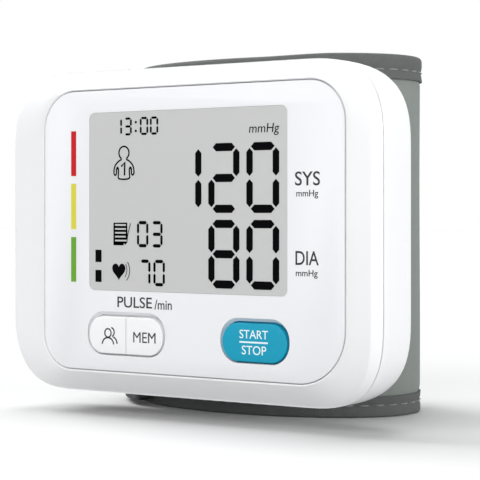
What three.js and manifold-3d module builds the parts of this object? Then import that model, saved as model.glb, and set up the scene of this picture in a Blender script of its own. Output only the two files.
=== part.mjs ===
// Wrist blood pressure monitor: a slim white case with a display and three buttons, carried on
// a closed cuff that goes round the wrist. Millimetres, +Z up, the display faces -Y.
// The origin is on the surface that the cuff stands on, under the middle of the object.

import * as THREE from 'three';
import { mergeVertices } from 'three/addons/utils/BufferGeometryUtils.js';
import Module from 'manifold-3d';

// Driving dimensions

// Fits
const seatGap = 0.3;
const overrun = 1;

// Case
const caseCornerRadius = 11;
const caseWall = 1.5;
const rearRounding = 8;
const partingDepth = 3.1;
const bevelDepth = 2.1;
const bevelEdge = 2;
const tongueLength = 1.5;
const tongueWall = 0.8;

// Faceplate
const frameLeft = 9.9;
const frameRight = 5.8;
const frameTop = 4.1;
const frameBottom = 4.4;
const panelCornerRadius = 7.3;
const panelThickness = 1.1;
const grooveWidth = 0.25;
const rimRound = 0.3;
const ledgeWidth = 1.5;
const ledgeThickness = 1.2;

// Display
const windowWidth = 44.6;
const windowLeftRoom = 11.15;
const windowRightRoom = 11.85;
const windowTopRoom = 4;
const windowToButtons = 4.725;
const windowCornerRadius = 1.2;
const glassBorder = 1;
const glassThickness = 1.4;
const holderWall = 0.9;
const stripWidth = 1.8;
const stripInset = 1.4;
const stripEndInset = 8;

// Buttons
const buttonProud = 0.3;
const buttonRound = 0.7;
const buttonTravel = 0.7;
const buttonGap = 0.4;
const buttonHeight = 6.95;
const buttonCornerRadius = 3.3;
const flangeReach = 0.7;
const flangeThickness = 0.6;
const startWidth = 14.4;
const startRightRoom = 11.4;
const pairWidth = 18;
const pairLeftRoom = 11.1;
const buttonsToEdge = 3.325;
const pairSwitchSpread = 3;
const stemRadius = 0.8;
const switchWidth = 4.2;
const switchHeight = 1.6;
const stemReach = 0.4;

// Circuit board
const boardDepth = 4.9;
const boardThickness = 1;
const boardPastTray = 0.2;
const boardSideRoom = 7.05;
const boardEndRoom = 6.55;
const boardCornerRadius = 1.2;
const chipWidth = 10;
const chipThickness = 1.3;
const chipPastTray = 11.2;
const chipZ = -2;
const buzzerRadius = 4.6;
const buzzerThickness = 3.2;
const buzzerPastTray = 14.2;
const buzzerZ = -15;
const sensorWidth = 7;
const sensorThickness = 3.4;
const sensorFromValve = 10.2;
const sensorZ = 7;

// Screws
const screwShankRadius = 0.6;
const screwHeadRadius = 1.6;
const screwHeadThickness = 1.1;
const screwSocketRadius = 0.5;
const screwSocketDepth = 0.5;
const pilotRadius = 0.9;
const bossRadius = 1.9;
const bossEnd = 10;
const wellFloor = 1.2;
const wellWall = 0.7;
const caseScrewSideRoom = 9.65;
const caseScrewPastTray = 3.2;
const caseScrewEndRoom = 3.7;
const boardScrewSideRoom = 9.15;
const boardScrewEndRoom = 6.9;
const boardScrewFromStart = 4.35;
const boardScrewLowRoom = 2.3;
const boardPostRadius = 1.9;
const cuffScrewSpread = 6;
const cuffScrewZ = 20;
const cuffScrewPad = 2.6;

// Air system
const pumpSideRoom = 17.25;
const pumpWidth = 12;
const pumpFrontRoom = 0.7;
const motorLength = 18;
const motorLow = -19;
const headLength = 9;
const nozzleRadius = 1.1;
const nozzleLength = 2.4;
const sensorNozzleLength = 1.2;
const portFlangeRoom = 2.2;
const manifoldFromPump = 8.9;
const manifoldZ = 17;
const manifoldWidth = 9;
const manifoldDepth = 5;
const manifoldHeight = 5;
const valveFromPump = 11.2;
const valveZ = -6;
const valveFrontRoom = 2.1;
const valveLength = 11;
const hoseRadius = 1.3;
const hoseBend = 2.4;
const portRadius = 1.3;
const portX = 2.5;
const portZ = 14;

// Batteries
const cellRadius = 5.1;
const cellLength = 43.5;
const nubRadius = 1.9;
const nubLength = 1;
const cellSpace = 0.7;
const cellSideRoom = 3.05;
const cellFrontRoom = 0.8;
const contactThickness = 0.4;
const contactWidth = 6;
const springRadius = 2.9;
const springTipRadius = 1.6;
const springWire = 0.25;
const springHeight = 2.4;
const trayWall = 0.8;
const trayEndRoom = 4.7;
const doorDepthStart = 4.6;
const doorLipLength = 1.6;
const doorLipWall = 0.9;

// Cuff
const cuffAboveCase = 2.3;
const cuffHalfWidth = 29.9;
const cuffHalfDepth = 18.2;
const cuffSquareness = 2.05;
const cuffShiftX = -2.1;
const caseLift = 4.2;
const saddleHalfWidth = 17;
const saddleHalfHeight = 22;
const coverThickness = 0.6;
const bandThickness = 1.5;
const bladderThickness = 1.3;
const liningThickness = 0.6;
const bindingHeight = 5;
const bindingThickness = 0.5;
const bandEdgeInset = 4;
const bladderEdgeInset = 8;
const hookThickness = 0.6;
const flapNarrowing = 0.7;

// Where pieces of the cuff begin and end, as shares of the way round the loop, counted from
// the middle of the near side towards +X
const shortEndShare = -0.25;
const hingeShare = 0.56;
const flapEndShare = 0.872;
const rampStartShare = 0.6;
const rampEndShare = 0.7;
const hookStartShare = 0.765;
const bladderStartShare = -0.17;
const bladderEndShare = 0.4;
const bandStartShare = -0.22;
const bandEndShare = 0.53;

// Fineness of round shapes
const cornerSteps = 8;
const roundingSteps = 5;
const drumSides = 16;
const socketSides = 6;
const hoseSteps = 16;
const leastRadiusShare = 0.05;
const stepsRoundLoop = 52;
const pathSamples = 1440;
const loopRoomSteps = 96;
const tubeSides = 8;
const springSides = 5;
const springStepsPerTurn = 10;
const springTurns = 2.5;

// The batteries set the case's depth and height, and the display its width
const caseDepth = boardDepth - seatGap + cellFrontRoom + 2 * cellRadius + seatGap + caseWall;
const trayEnd = cellLength / 2 + nubLength + springHeight / 2 + contactThickness + 2 * seatGap;
const caseHeight = 2 * (trayEnd + trayWall + trayEndRoom);
const panelHeight = caseHeight - frameTop - frameBottom;
const windowHeight = panelHeight - windowTopRoom - windowToButtons - buttonHeight - buttonsToEdge;
const panelWidth = windowLeftRoom + windowWidth + windowRightRoom;
const caseWidth = frameLeft + panelWidth + frameRight;
const cuffHeight = caseLift + caseHeight + cuffAboveCase;
const doorHalfHeight = trayEnd;

// Places from the middle of the case or, where they begin with panel, window, start or pair, the
// panel's middle
const panelShiftX = (frameLeft - frameRight) / 2;
const panelShiftZ = (frameBottom - frameTop) / 2;
const windowX = (windowLeftRoom - windowRightRoom) / 2;
const windowZ = panelHeight / 2 - windowTopRoom - windowHeight / 2;
const startX = panelWidth / 2 - startRightRoom - startWidth / 2;
const pairX = pairLeftRoom + pairWidth / 2 - panelWidth / 2;
const buttonsZ = buttonsToEdge + buttonHeight / 2 - panelHeight / 2;
const cellLeftX = cellSideRoom + cellRadius - caseWidth / 2;
const cellRightX = cellLeftX + 2 * cellRadius + cellSpace;
const trayRight = cellRightX + cellRadius + seatGap;
const boardLeft = trayRight + boardPastTray;
const boardRight = caseWidth / 2 - boardSideRoom;
const boardHalfHeight = caseHeight / 2 - boardEndRoom;
const chipX = trayRight + chipPastTray;
const buzzerX = trayRight + buzzerPastTray;
const pumpX = caseWidth / 2 - pumpSideRoom;
const manifoldX = pumpX - manifoldFromPump;
const valveX = pumpX - valveFromPump;
const sensorX = valveX - sensorFromValve;
const caseScrewRightX = caseWidth / 2 - caseScrewSideRoom;
const caseScrewLeftX = trayRight + caseScrewPastTray;
const caseScrewZ = caseHeight / 2 - caseScrewEndRoom;
const boardScrewRightX = caseWidth / 2 - boardScrewSideRoom;
const boardScrewRightZ = boardHalfHeight - boardScrewEndRoom;
const boardScrewMiddleX = panelShiftX + startX - startWidth / 2 - boardScrewFromStart;
const boardScrewMiddleZ = boardScrewLowRoom - boardHalfHeight;

// Depths behind the faceplate's front
const panelBack = panelThickness;
const ledgeFront = panelBack + seatGap;
const ledgeBack = ledgeFront + ledgeThickness;
const glassFront = panelBack + seatGap;
const glassBack = glassFront + glassThickness;
const boardBack = boardDepth + boardThickness;
const innerBack = caseDepth - caseWall;
const pumpDepth = innerBack - seatGap - boardBack - pumpFrontRoom;
const valveRadius = (innerBack - seatGap - boardBack - valveFrontRoom) / 2;
const portFlangeDepth = innerBack - portFlangeRoom;
const cuffNear = caseDepth + seatGap;
const cuffCentreDepth = cuffNear + cuffHalfDepth;
const bindingOuter = seatGap + bindingThickness;
const objectFront = -buttonProud;
const objectBack = cuffCentreDepth + cuffHalfDepth + bindingOuter;
const objectMiddleDepth = (objectFront + objectBack) / 2;
const caseCentreZ = caseLift + caseHeight / 2;

// Materials

function finish(color, roughness, metalness = 0) {
  return new THREE.MeshStandardMaterial({ color, roughness, metalness });
}
const whitePlastic = finish(0xf3f4f6, 0.3);
const panelPlastic = finish(0xf1f2f5, 0.25);
const clearPlastic = finish(0xd9dcdc, 0.1);
const displayGlass = finish(0xc6c8c8, 0.15);
const turquoisePlastic = finish(0x1fa5c4, 0.35);
const darkPlastic = finish(0x2c2e31, 0.6);
const boardMaterial = finish(0x1f6b45, 0.5);
const steel = finish(0xb9bcc0, 0.3, 1);
const brassPlate = finish(0xc8b273, 0.35, 1);
const cellJacket = finish(0x3a3f46, 0.4, 0.4);
const siliconeRubber = finish(0xd8d6cf, 0.6);
const bladderRubber = finish(0x8a8f8d, 0.7);
const bandPlastic = finish(0xe4e2da, 0.5);
const coverFabric = finish(0x879389, 0.6);
const bindingFabric = finish(0x55605b, 0.75);
const liningFabric = finish(0x6f7a75, 0.9);
const hookFabric = finish(0x3f4644, 0.95);

// Solids

const manifoldLibrary = await Module();
manifoldLibrary.setup();

function toSolid(geometry) {
  const bare = geometry.clone();
  bare.deleteAttribute('normal');
  bare.deleteAttribute('uv');
  const merged = mergeVertices(bare);
  const mesh = new manifoldLibrary.Mesh({
    numProp: 3,
    vertProperties: new Float32Array(merged.attributes.position.array),
    triVerts: new Uint32Array(merged.index.array),
  });
  return new manifoldLibrary.Manifold(mesh);
}

function toGeometry(solid) {
  const mesh = solid.getMesh();
  const geometry = new THREE.BufferGeometry();
  geometry.setAttribute('position', new THREE.BufferAttribute(mesh.vertProperties, 3));
  geometry.setIndex(new THREE.BufferAttribute(mesh.triVerts, 1));
  geometry.computeVertexNormals();
  return geometry;
}

function joined(...geometries) {
  const solids = geometries.map(toSolid);
  return toGeometry(solids.reduce((whole, next) => whole.add(next)));
}

function cutBy(geometry, ...tools) {
  const solids = tools.map(toSolid);
  return toGeometry(solids.reduce((whole, tool) => whole.subtract(tool), toSolid(geometry)));
}

function common(first, second) {
  return toGeometry(toSolid(first).intersect(toSolid(second)));
}

// A rounded rectangle seen from the front, with its place, size and corner radius
function frameOf(x, z, width, height, radius) {
  return { x, z, width, height, radius };
}

function grown(frame, by) {
  const radius = Math.max(frame.radius + by, frame.radius * leastRadiusShare);
  return frameOf(frame.x, frame.z, frame.width + 2 * by, frame.height + 2 * by, radius);
}

function outline(frame) {
  const points = [];
  const right = frame.width / 2 - frame.radius;
  const top = frame.height / 2 - frame.radius;
  const corners = [[right, top], [-right, top], [-right, -top], [right, -top]];
  corners.forEach(([cornerX, cornerZ], quarter) => {
    for (let step = 0; step <= cornerSteps; step += 1) {
      const angle = (quarter + step / cornerSteps) * Math.PI / 2;
      const x = frame.x + cornerX + frame.radius * Math.cos(angle);
      const z = frame.z + cornerZ + frame.radius * Math.sin(angle);
      points.push(new THREE.Vector2(x, z));
    }
  });
  return points;
}

// A closed skin over rings of points: rings joined end to start when looped, else capped
function skinned(rings, looped, capOutline) {
  const count = rings[0].length;
  const positions = rings.flat().flatMap((point) => [point.x, point.y, point.z]);
  const faces = [];
  const lastRing = looped ? rings.length : rings.length - 1;
  for (let ring = 0; ring < lastRing; ring += 1) {
    const here = ring * count;
    const there = ((ring + 1) % rings.length) * count;
    for (let place = 0; place < count; place += 1) {
      const next = (place + 1) % count;
      faces.push(here + place, here + next, there + next);
      faces.push(here + place, there + next, there + place);
    }
  }
  if (!looped) {
    const end = (rings.length - 1) * count;
    const cap = THREE.ShapeUtils.triangulateShape(capOutline, []);
    const turned = THREE.ShapeUtils.area(capOutline) > 0;
    cap.forEach(([a, b, c]) => {
      faces.push(...(turned ? [c, b, a] : [a, b, c]));
      faces.push(...(turned ? [end + a, end + b, end + c] : [end + c, end + b, end + a]));
    });
  }
  const geometry = new THREE.BufferGeometry();
  geometry.setAttribute('position', new THREE.Float32BufferAttribute(positions, 3));
  geometry.setIndex(facingOut(positions, faces));
  geometry.computeVertexNormals();
  return geometry;
}

function facingOut(positions, faces) {
  let volume = 0;
  const corner = (index) => new THREE.Vector3().fromArray(positions, index * 3);
  for (let face = 0; face < faces.length; face += 3) {
    const [a, b, c] = [corner(faces[face]), corner(faces[face + 1]), corner(faces[face + 2])];
    volume += a.dot(b.cross(c));
  }
  return volume > 0 ? faces : faces.slice().reverse();
}

function ringAt(frame, depth) {
  return outline(frame).map((point) => new THREE.Vector3(point.x, depth, point.y));
}

// A solid through rounded rectangles at given depths
function lofted(sections) {
  return skinned(sections.map(([frame, depth]) => ringAt(frame, depth)), false, outline(sections[0][0]));
}

// A closed frame whose section runs round through the given outlines and back to the first
function loopedLoft(sections) {
  return skinned(sections.map(([frame, depth]) => ringAt(frame, depth)), true);
}

function slab(frame, front, back) {
  return lofted([[frame, front], [frame, back]]);
}

function box(left, right, front, back, low, high) {
  const geometry = new THREE.BoxGeometry(right - left, back - front, high - low);
  geometry.translate((left + right) / 2, (front + back) / 2, (low + high) / 2);
  return geometry;
}

function drum(x, z, radius, front, back, sides = drumSides) {
  const geometry = new THREE.CylinderGeometry(radius, radius, back - front, sides);
  geometry.translate(x, (front + back) / 2, z);
  return geometry;
}

function uprightDrum(x, depth, radius, low, high, sides = drumSides) {
  const geometry = new THREE.CylinderGeometry(radius, radius, high - low, sides);
  geometry.rotateX(Math.PI / 2);
  geometry.translate(x, depth, (low + high) / 2);
  return geometry;
}

function tube(points, radius, sides, steps) {
  const section = new THREE.Shape();
  for (let side = 0; side < sides; side += 1) {
    const angle = side / sides * 2 * Math.PI;
    const corner = [radius * Math.cos(angle), radius * Math.sin(angle)];
    if (side === 0) section.moveTo(...corner);
    else section.lineTo(...corner);
  }
  section.closePath();
  const path = new THREE.CatmullRomCurve3(points, false, 'centripetal');
  return new THREE.ExtrudeGeometry(section, { steps, bevelEnabled: false, extrudePath: path });
}

// The object and its groups

const monitor = new THREE.Group();
monitor.position.set(0, -objectMiddleDepth, 0);
const casing = new THREE.Group();
casing.position.set(0, 0, caseCentreZ);
const cuff = new THREE.Group();
monitor.add(casing, cuff);
const object = new THREE.Group();
object.add(monitor);

function place(group, name, geometry, material) {
  const mesh = new THREE.Mesh(geometry, material);
  mesh.name = name;
  group.add(mesh);
}

// The cuff's layers follow one loop round the wrist

const powerShare = 2 / cuffSquareness;

function loopPoint(turn) {
  const across = Math.sin(turn);
  const along = -Math.cos(turn);
  return new THREE.Vector2(
    cuffHalfWidth * Math.sign(across) * Math.abs(across) ** powerShare,
    cuffHalfDepth * Math.sign(along) * Math.abs(along) ** powerShare,
  );
}

function outwardAt(point) {
  const x = Math.sign(point.x) * Math.abs(point.x / cuffHalfWidth) ** (cuffSquareness - 1) / cuffHalfWidth;
  const y = Math.sign(point.y) * Math.abs(point.y / cuffHalfDepth) ** (cuffSquareness - 1) / cuffHalfDepth;
  return new THREE.Vector2(x, y).normalize();
}

const loopSamples = [];
let loopLength = 0;
for (let sample = 0; sample <= pathSamples; sample += 1) {
  const point = loopPoint(sample / pathSamples * 2 * Math.PI);
  if (sample > 0) loopLength += point.distanceTo(loopSamples[sample - 1].point);
  loopSamples.push({ point, length: loopLength });
}

function loopAt(share) {
  const wanted = (share - Math.floor(share)) * loopLength;
  const after = Math.max(1, loopSamples.findIndex((sample) => sample.length >= wanted));
  const before = loopSamples[after - 1];
  const part = (wanted - before.length) / (loopSamples[after].length - before.length);
  const point = before.point.clone().lerp(loopSamples[after].point, part);
  return { point, outward: outwardAt(point) };
}

// A band along the loop; its section is a list of [distance outward, height] corners
function bandAlong(section, startShare, endShare, rampAt = () => 0) {
  const steps = Math.ceil((endShare - startShare) * stepsRoundLoop);
  const rings = [];
  for (let step = 0; step <= steps; step += 1) {
    const share = startShare + (endShare - startShare) * step / steps;
    const { point, outward } = loopAt(share);
    const ramp = rampAt(share);
    rings.push(section.map(([reach, height]) => new THREE.Vector3(
      cuffShiftX + point.x + outward.x * (reach + ramp),
      cuffCentreDepth + point.y + outward.y * (reach + ramp),
      height,
    )));
  }
  return skinned(rings, false, section.map(([reach, height]) => new THREE.Vector2(reach, height)));
}

function sheetSection(outer, thickness, low, high) {
  return [[outer, low], [outer, high], [outer - thickness, high], [outer - thickness, low]];
}

// A channel that wraps over an edge: up its outer face, over the edge and down its inner face
function bindingSection(innerFace, edge, direction) {
  const inside = edge - direction * bindingThickness;
  const foot = edge - direction * bindingHeight;
  const inner = innerFace - seatGap - bindingThickness;
  return [
    [bindingOuter, foot],
    [bindingOuter, edge],
    [inner, edge],
    [inner, foot],
    [inner + bindingThickness, foot],
    [inner + bindingThickness, inside],
    [bindingOuter - bindingThickness, inside],
    [bindingOuter - bindingThickness, foot],
  ];
}

// The whole room that the loop takes up, grown by a reach, as a tool to cut with
function loopRoom(reach, low, high) {
  const plan = [];
  for (let step = 0; step < loopRoomSteps; step += 1) {
    const { point, outward } = loopAt(step / loopRoomSteps);
    plan.push(point.clone().addScaledVector(outward, reach));
  }
  const rings = [low, high].map((height) => plan.map((point) => (
    new THREE.Vector3(cuffShiftX + point.x, cuffCentreDepth + point.y, height)
  )));
  return skinned(rings, false, plan);
}

// Case shells

const caseFrame = frameOf(0, 0, caseWidth, caseHeight, caseCornerRadius);
const panelFrame = frameOf(panelShiftX, panelShiftZ, panelWidth, panelHeight, panelCornerRadius);
const caseScrews = [
  [caseScrewLeftX, -caseScrewZ],
  [caseScrewLeftX, caseScrewZ],
  [caseScrewRightX, -caseScrewZ],
  [caseScrewRightX, caseScrewZ],
];
const boardScrews = [
  [boardScrewRightX, -boardScrewRightZ],
  [boardScrewRightX, boardScrewRightZ],
  [boardScrewMiddleX, boardScrewMiddleZ],
];
const cuffScrews = [
  [cuffShiftX - cuffScrewSpread, -cuffScrewZ],
  [cuffShiftX - cuffScrewSpread, cuffScrewZ],
  [cuffShiftX + cuffScrewSpread, -cuffScrewZ],
  [cuffShiftX + cuffScrewSpread, cuffScrewZ],
];

function frontShell() {
  const tongueOuter = -(caseWall + seatGap);
  const tongueInner = tongueOuter - tongueWall;
  const sections = [
    [grown(panelFrame, grooveWidth), rimRound],
    [grown(panelFrame, grooveWidth + rimRound), 0],
  ];
  for (let step = 0; step <= roundingSteps; step += 1) {
    const angle = step / roundingSteps * Math.PI / 2;
    const inset = bevelEdge * (1 - Math.sin(angle));
    const depth = bevelDepth + (partingDepth - bevelDepth) * (1 - Math.cos(angle));
    sections.push([grown(caseFrame, -inset), depth]);
  }
  sections.push(
    [grown(caseFrame, tongueOuter), partingDepth],
    [grown(caseFrame, tongueOuter), partingDepth + tongueLength],
    [grown(caseFrame, tongueInner), partingDepth + tongueLength],
    [grown(caseFrame, tongueInner), partingDepth],
    [grown(panelFrame, -ledgeWidth), ledgeBack],
    [grown(panelFrame, -ledgeWidth), ledgeFront],
    [grown(panelFrame, grooveWidth), ledgeFront],
  );
  const bosses = caseScrews.map(([x, z]) => drum(x, z, bossRadius, ledgeBack - seatGap, bossEnd));
  const posts = boardScrews.map(([x, z]) => drum(x, z, boardPostRadius, ledgeFront, boardDepth - seatGap));
  const panelLow = panelShiftZ - panelHeight / 2;
  const web = box(
    boardScrewMiddleX - boardPostRadius / 2, boardScrewMiddleX + boardPostRadius / 2,
    ledgeFront, ledgeBack, panelLow, boardScrewMiddleZ,
  );
  const pilots = [...caseScrews, ...boardScrews].map(([x, z]) => (
    drum(x, z, pilotRadius, ledgeBack - seatGap, bossEnd + overrun)
  ));
  return cutBy(joined(loopedLoft(sections), ...bosses, ...posts, web), ...pilots);
}

// The rear shell's solid form, and its hollow when inset by the wall
function rearForm(inset, front) {
  const sections = [[grown(caseFrame, -inset), front]];
  for (let step = 0; step <= roundingSteps; step += 1) {
    const angle = step / roundingSteps * Math.PI / 2;
    const radius = rearRounding - inset;
    const depth = caseDepth - rearRounding + radius * Math.sin(angle);
    sections.push([grown(caseFrame, -inset - radius * (1 - Math.cos(angle))), depth]);
  }
  return lofted(sections);
}

const rearFront = partingDepth + seatGap;
const doorRight = -caseWidth / 2 + rearRounding;
const cellDepth = innerBack - seatGap - cellRadius;
const trayFront = boardBack + seatGap;
const lipEnd = -caseWidth / 2 + caseWall + doorLipLength;
const cuffHole = screwShankRadius + seatGap;
const portHole = portRadius + seatGap;

function rearShell() {
  const outside = rearForm(0, rearFront);
  const cup = cutBy(outside, rearForm(caseWall, rearFront - overrun));
  const wellRadius = screwHeadRadius + seatGap;
  const wells = caseScrews.map(([x, z]) => (
    common(drum(x, z, wellRadius + wellWall, bossEnd + seatGap, caseDepth + overrun), outside)
  ));
  const pads = cuffScrews.map(([x, z]) => (
    drum(x, z, cuffScrewPad, innerBack - screwHeadThickness / 2, innerBack + caseWall / 2)
  ));
  const sideWall = box(
    trayRight, trayRight + trayWall, trayFront, innerBack + caseWall / 2, -trayEnd, trayEnd,
  );
  const endWalls = [-1, 1].map((side) => {
    const near = side * trayEnd;
    const far = side * (trayEnd + trayWall);
    return box(
      lipEnd + seatGap, trayRight + trayWall, trayFront, innerBack + caseWall / 2,
      Math.min(near, far), Math.max(near, far),
    );
  });
  const inside = rearForm(caseWall / 2, rearFront);
  const walls = [...pads, sideWall, ...endWalls].map((wall) => common(wall, inside));
  const saddle = cutBy(
    box(
      cuffShiftX - saddleHalfWidth, cuffShiftX + saddleHalfWidth,
      innerBack + caseWall / 2, cuffCentreDepth, -saddleHalfHeight, saddleHalfHeight,
    ),
    loopRoom(seatGap, -cuffHeight, cuffHeight),
  );
  const solid = joined(cup, ...wells, ...walls, saddle);
  const wellSeat = bossEnd + seatGap + wellFloor;
  const padFront = innerBack - 2 * screwHeadThickness;
  const openings = [
    box(
      -caseWidth / 2 - overrun, doorRight + seatGap, doorDepthStart - seatGap, caseDepth + overrun,
      -doorHalfHeight - seatGap, doorHalfHeight + seatGap,
    ),
    ...caseScrews.map(([x, z]) => drum(x, z, wellRadius, wellSeat, caseDepth + overrun)),
    ...caseScrews.map(([x, z]) => drum(x, z, pilotRadius, bossEnd, caseDepth)),
    ...cuffScrews.map(([x, z]) => drum(x, z, cuffHole, padFront, cuffCentreDepth)),
    drum(portX, portZ, portHole, innerBack - overrun, cuffCentreDepth),
  ];
  return cutBy(solid, ...openings);
}

function batteryDoor() {
  const outside = rearForm(0, rearFront);
  const cup = cutBy(outside, rearForm(caseWall, rearFront - overrun));
  const reach = box(
    -caseWidth / 2 - overrun, doorRight, doorDepthStart, caseDepth + overrun,
    -doorHalfHeight, doorHalfHeight,
  );
  const skin = common(cup, reach);
  const lips = [-1, 1].map((side) => {
    const outer = side * (doorHalfHeight - seatGap);
    const inner = side * (doorHalfHeight - seatGap - doorLipWall);
    return box(
      -caseWidth / 2 + caseWall / 2, lipEnd, doorDepthStart + seatGap, caseDepth - rearRounding,
      Math.min(inner, outer), Math.max(inner, outer),
    );
  });
  return joined(skin, ...lips.map((lip) => common(lip, outside)));
}

place(casing, 'front_shell', frontShell(), whitePlastic);
place(casing, 'rear_shell', rearShell(), whitePlastic);
place(casing, 'battery_door', batteryDoor(), whitePlastic);

// Faceplate, display and buttons

const face = new THREE.Group();
face.position.set(panelShiftX, 0, panelShiftZ);
casing.add(face);

const windowFrame = frameOf(windowX, windowZ, windowWidth, windowHeight, windowCornerRadius);
const startFrame = frameOf(startX, buttonsZ, startWidth, buttonHeight, buttonCornerRadius);
const pairFrame = frameOf(pairX, buttonsZ, pairWidth, buttonHeight, buttonCornerRadius);
const facePlate = frameOf(0, 0, panelWidth, panelHeight, panelCornerRadius);
const glassFrame = grown(windowFrame, glassBorder);
const holderFrame = grown(glassFrame, seatGap + holderWall);

place(face, 'faceplate', cutBy(
  slab(facePlate, 0, panelBack),
  slab(grown(windowFrame, seatGap), -overrun, panelBack + overrun),
  slab(grown(startFrame, buttonGap), -overrun, panelBack + overrun),
  slab(grown(pairFrame, buttonGap), -overrun, panelBack + overrun),
), panelPlastic);
place(face, 'display_window', slab(windowFrame, 0, panelBack), clearPlastic);
place(face, 'lcd_glass', slab(glassFrame, glassFront, glassBack), displayGlass);
place(face, 'lcd_holder', loopedLoft([
  [holderFrame, glassFront],
  [holderFrame, boardDepth - seatGap],
  [grown(glassFrame, -stripInset + seatGap), boardDepth - seatGap],
  [grown(glassFrame, -stripInset + seatGap), glassBack + seatGap],
  [grown(glassFrame, seatGap), glassBack + seatGap],
  [grown(glassFrame, seatGap), glassFront],
]), darkPlastic);
const stripTop = windowZ - windowHeight / 2 - glassBorder + stripInset + stripWidth;
place(face, 'contact_strip', box(
  windowX - windowWidth / 2 + stripEndInset, windowX + windowWidth / 2 - stripEndInset,
  glassBack + seatGap, boardDepth - seatGap, stripTop - stripWidth, stripTop,
), siliconeRubber);

const flangeFront = panelBack + seatGap;
const flangeBack = flangeFront + flangeThickness;
const switchFront = boardDepth - seatGap - switchHeight;
const stemEnd = switchFront + stemReach;

function buttonBody(frame) {
  const cap = lofted([
    [frame, flangeFront + flangeThickness / 2],
    [frame, buttonRound - buttonProud],
    [grown(frame, -buttonRound * (1 - Math.SQRT1_2)), buttonRound * (1 - Math.SQRT1_2) - buttonProud],
    [grown(frame, -buttonRound), -buttonProud],
  ]);
  return joined(cap, slab(grown(frame, flangeReach), flangeFront, flangeBack));
}

function stemAt(x) {
  return drum(x, buttonsZ, stemRadius, flangeBack - flangeThickness / 2, stemEnd);
}

function halfOfPair(side) {
  const near = pairX + side * seatGap / 2;
  const far = pairX - side * pairWidth;
  const otherHalf = box(
    Math.min(near, far), Math.max(near, far), -overrun, flangeBack + overrun,
    buttonsZ - buttonHeight, buttonsZ + buttonHeight,
  );
  const kept = cutBy(buttonBody(pairFrame), otherHalf);
  return joined(kept, stemAt(pairX + side * pairSwitchSpread));
}

function tactSwitch(x) {
  const half = switchWidth / 2;
  return cutBy(
    box(x - half, x + half, switchFront, boardDepth - seatGap, buttonsZ - half, buttonsZ + half),
    drum(x, buttonsZ, stemRadius + seatGap, switchFront - overrun, stemEnd + buttonTravel + seatGap),
  );
}

place(face, 'start_button', joined(buttonBody(startFrame), stemAt(startX)), turquoisePlastic);
place(face, 'user_button', halfOfPair(-1), whitePlastic);
place(face, 'memory_button', halfOfPair(1), whitePlastic);
place(face, 'start_switch', tactSwitch(startX), darkPlastic);
place(face, 'user_switch', tactSwitch(pairX - pairSwitchSpread), darkPlastic);
place(face, 'memory_switch', tactSwitch(pairX + pairSwitchSpread), darkPlastic);

// Circuit board and what is soldered on its back

const boardFrame = frameOf(
  (boardLeft + boardRight) / 2, 0, boardRight - boardLeft, 2 * boardHalfHeight, boardCornerRadius,
);
place(casing, 'circuit_board', cutBy(
  slab(boardFrame, boardDepth, boardBack),
  ...boardScrews.map(([x, z]) => drum(x, z, pilotRadius, boardDepth - overrun, boardBack + overrun)),
), boardMaterial);

const partFront = boardBack + seatGap;

const sensorBack = partFront + sensorThickness;
const sensorTip = sensorBack + sensorNozzleLength;

function squareOnBoard(x, z, width, thickness) {
  const half = width / 2;
  return box(x - half, x + half, partFront, partFront + thickness, z - half, z + half);
}
const buzzerBody = drum(buzzerX, buzzerZ, buzzerRadius, partFront, partFront + buzzerThickness);
place(casing, 'controller_chip', squareOnBoard(chipX, chipZ, chipWidth, chipThickness), darkPlastic);
place(casing, 'buzzer', buzzerBody, darkPlastic);
place(casing, 'pressure_sensor', joined(
  squareOnBoard(sensorX, sensorZ, sensorWidth, sensorThickness),
  drum(sensorX, sensorZ, nozzleRadius, sensorBack - sensorThickness / 2, sensorTip, tubeSides),
), steel);

// Pump, valve, manifold and hoses

const airDepth = innerBack - seatGap - pumpDepth / 2;
const motorHigh = motorLow + motorLength;
const headLow = motorHigh + seatGap;
const headHigh = headLow + headLength;
const pumpRound = pumpDepth / 3;

function uprightSlab(x, width, depthSize, round, low, high) {
  const flat = frameOf(0, 0, width, depthSize, round);
  const rings = [low, high].map((height) => (
    outline(flat).map((point) => new THREE.Vector3(x + point.x, airDepth + point.y, height))
  ));
  return skinned(rings, false, outline(flat));
}
const motorBody = uprightSlab(pumpX, pumpWidth, pumpDepth, pumpRound, motorLow, motorHigh);
place(casing, 'pump_motor', motorBody, steel);
place(casing, 'pump_head', joined(
  uprightSlab(pumpX, pumpWidth, pumpDepth, pumpRound / 2, headLow, headHigh),
  uprightDrum(pumpX, airDepth, nozzleRadius, headHigh - nozzleLength / 2, headHigh + nozzleLength, tubeSides),
), darkPlastic);

const manifoldLow = manifoldZ - manifoldHeight / 2;
const manifoldHigh = manifoldZ + manifoldHeight / 2;
const manifoldLeft = manifoldX - manifoldWidth / 2;
const manifoldRight = manifoldX + manifoldWidth / 2;
const manifoldDepthAt = innerBack - seatGap - manifoldDepth / 2;
place(casing, 'air_manifold', box(
  manifoldLeft, manifoldRight, manifoldDepthAt - manifoldDepth / 2, manifoldDepthAt + manifoldDepth / 2,
  manifoldLow, manifoldHigh,
), darkPlastic);

const valveDepth = innerBack - seatGap - valveRadius;
const valveHigh = valveZ + valveLength / 2;
const valveTip = valveHigh + nozzleLength;
place(casing, 'release_valve', joined(
  uprightDrum(valveX, valveDepth, valveRadius, valveZ - valveLength / 2, valveHigh),
  uprightDrum(valveX, valveDepth, nozzleRadius, valveHigh - nozzleLength / 2, valveTip, tubeSides),
), steel);

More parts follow.
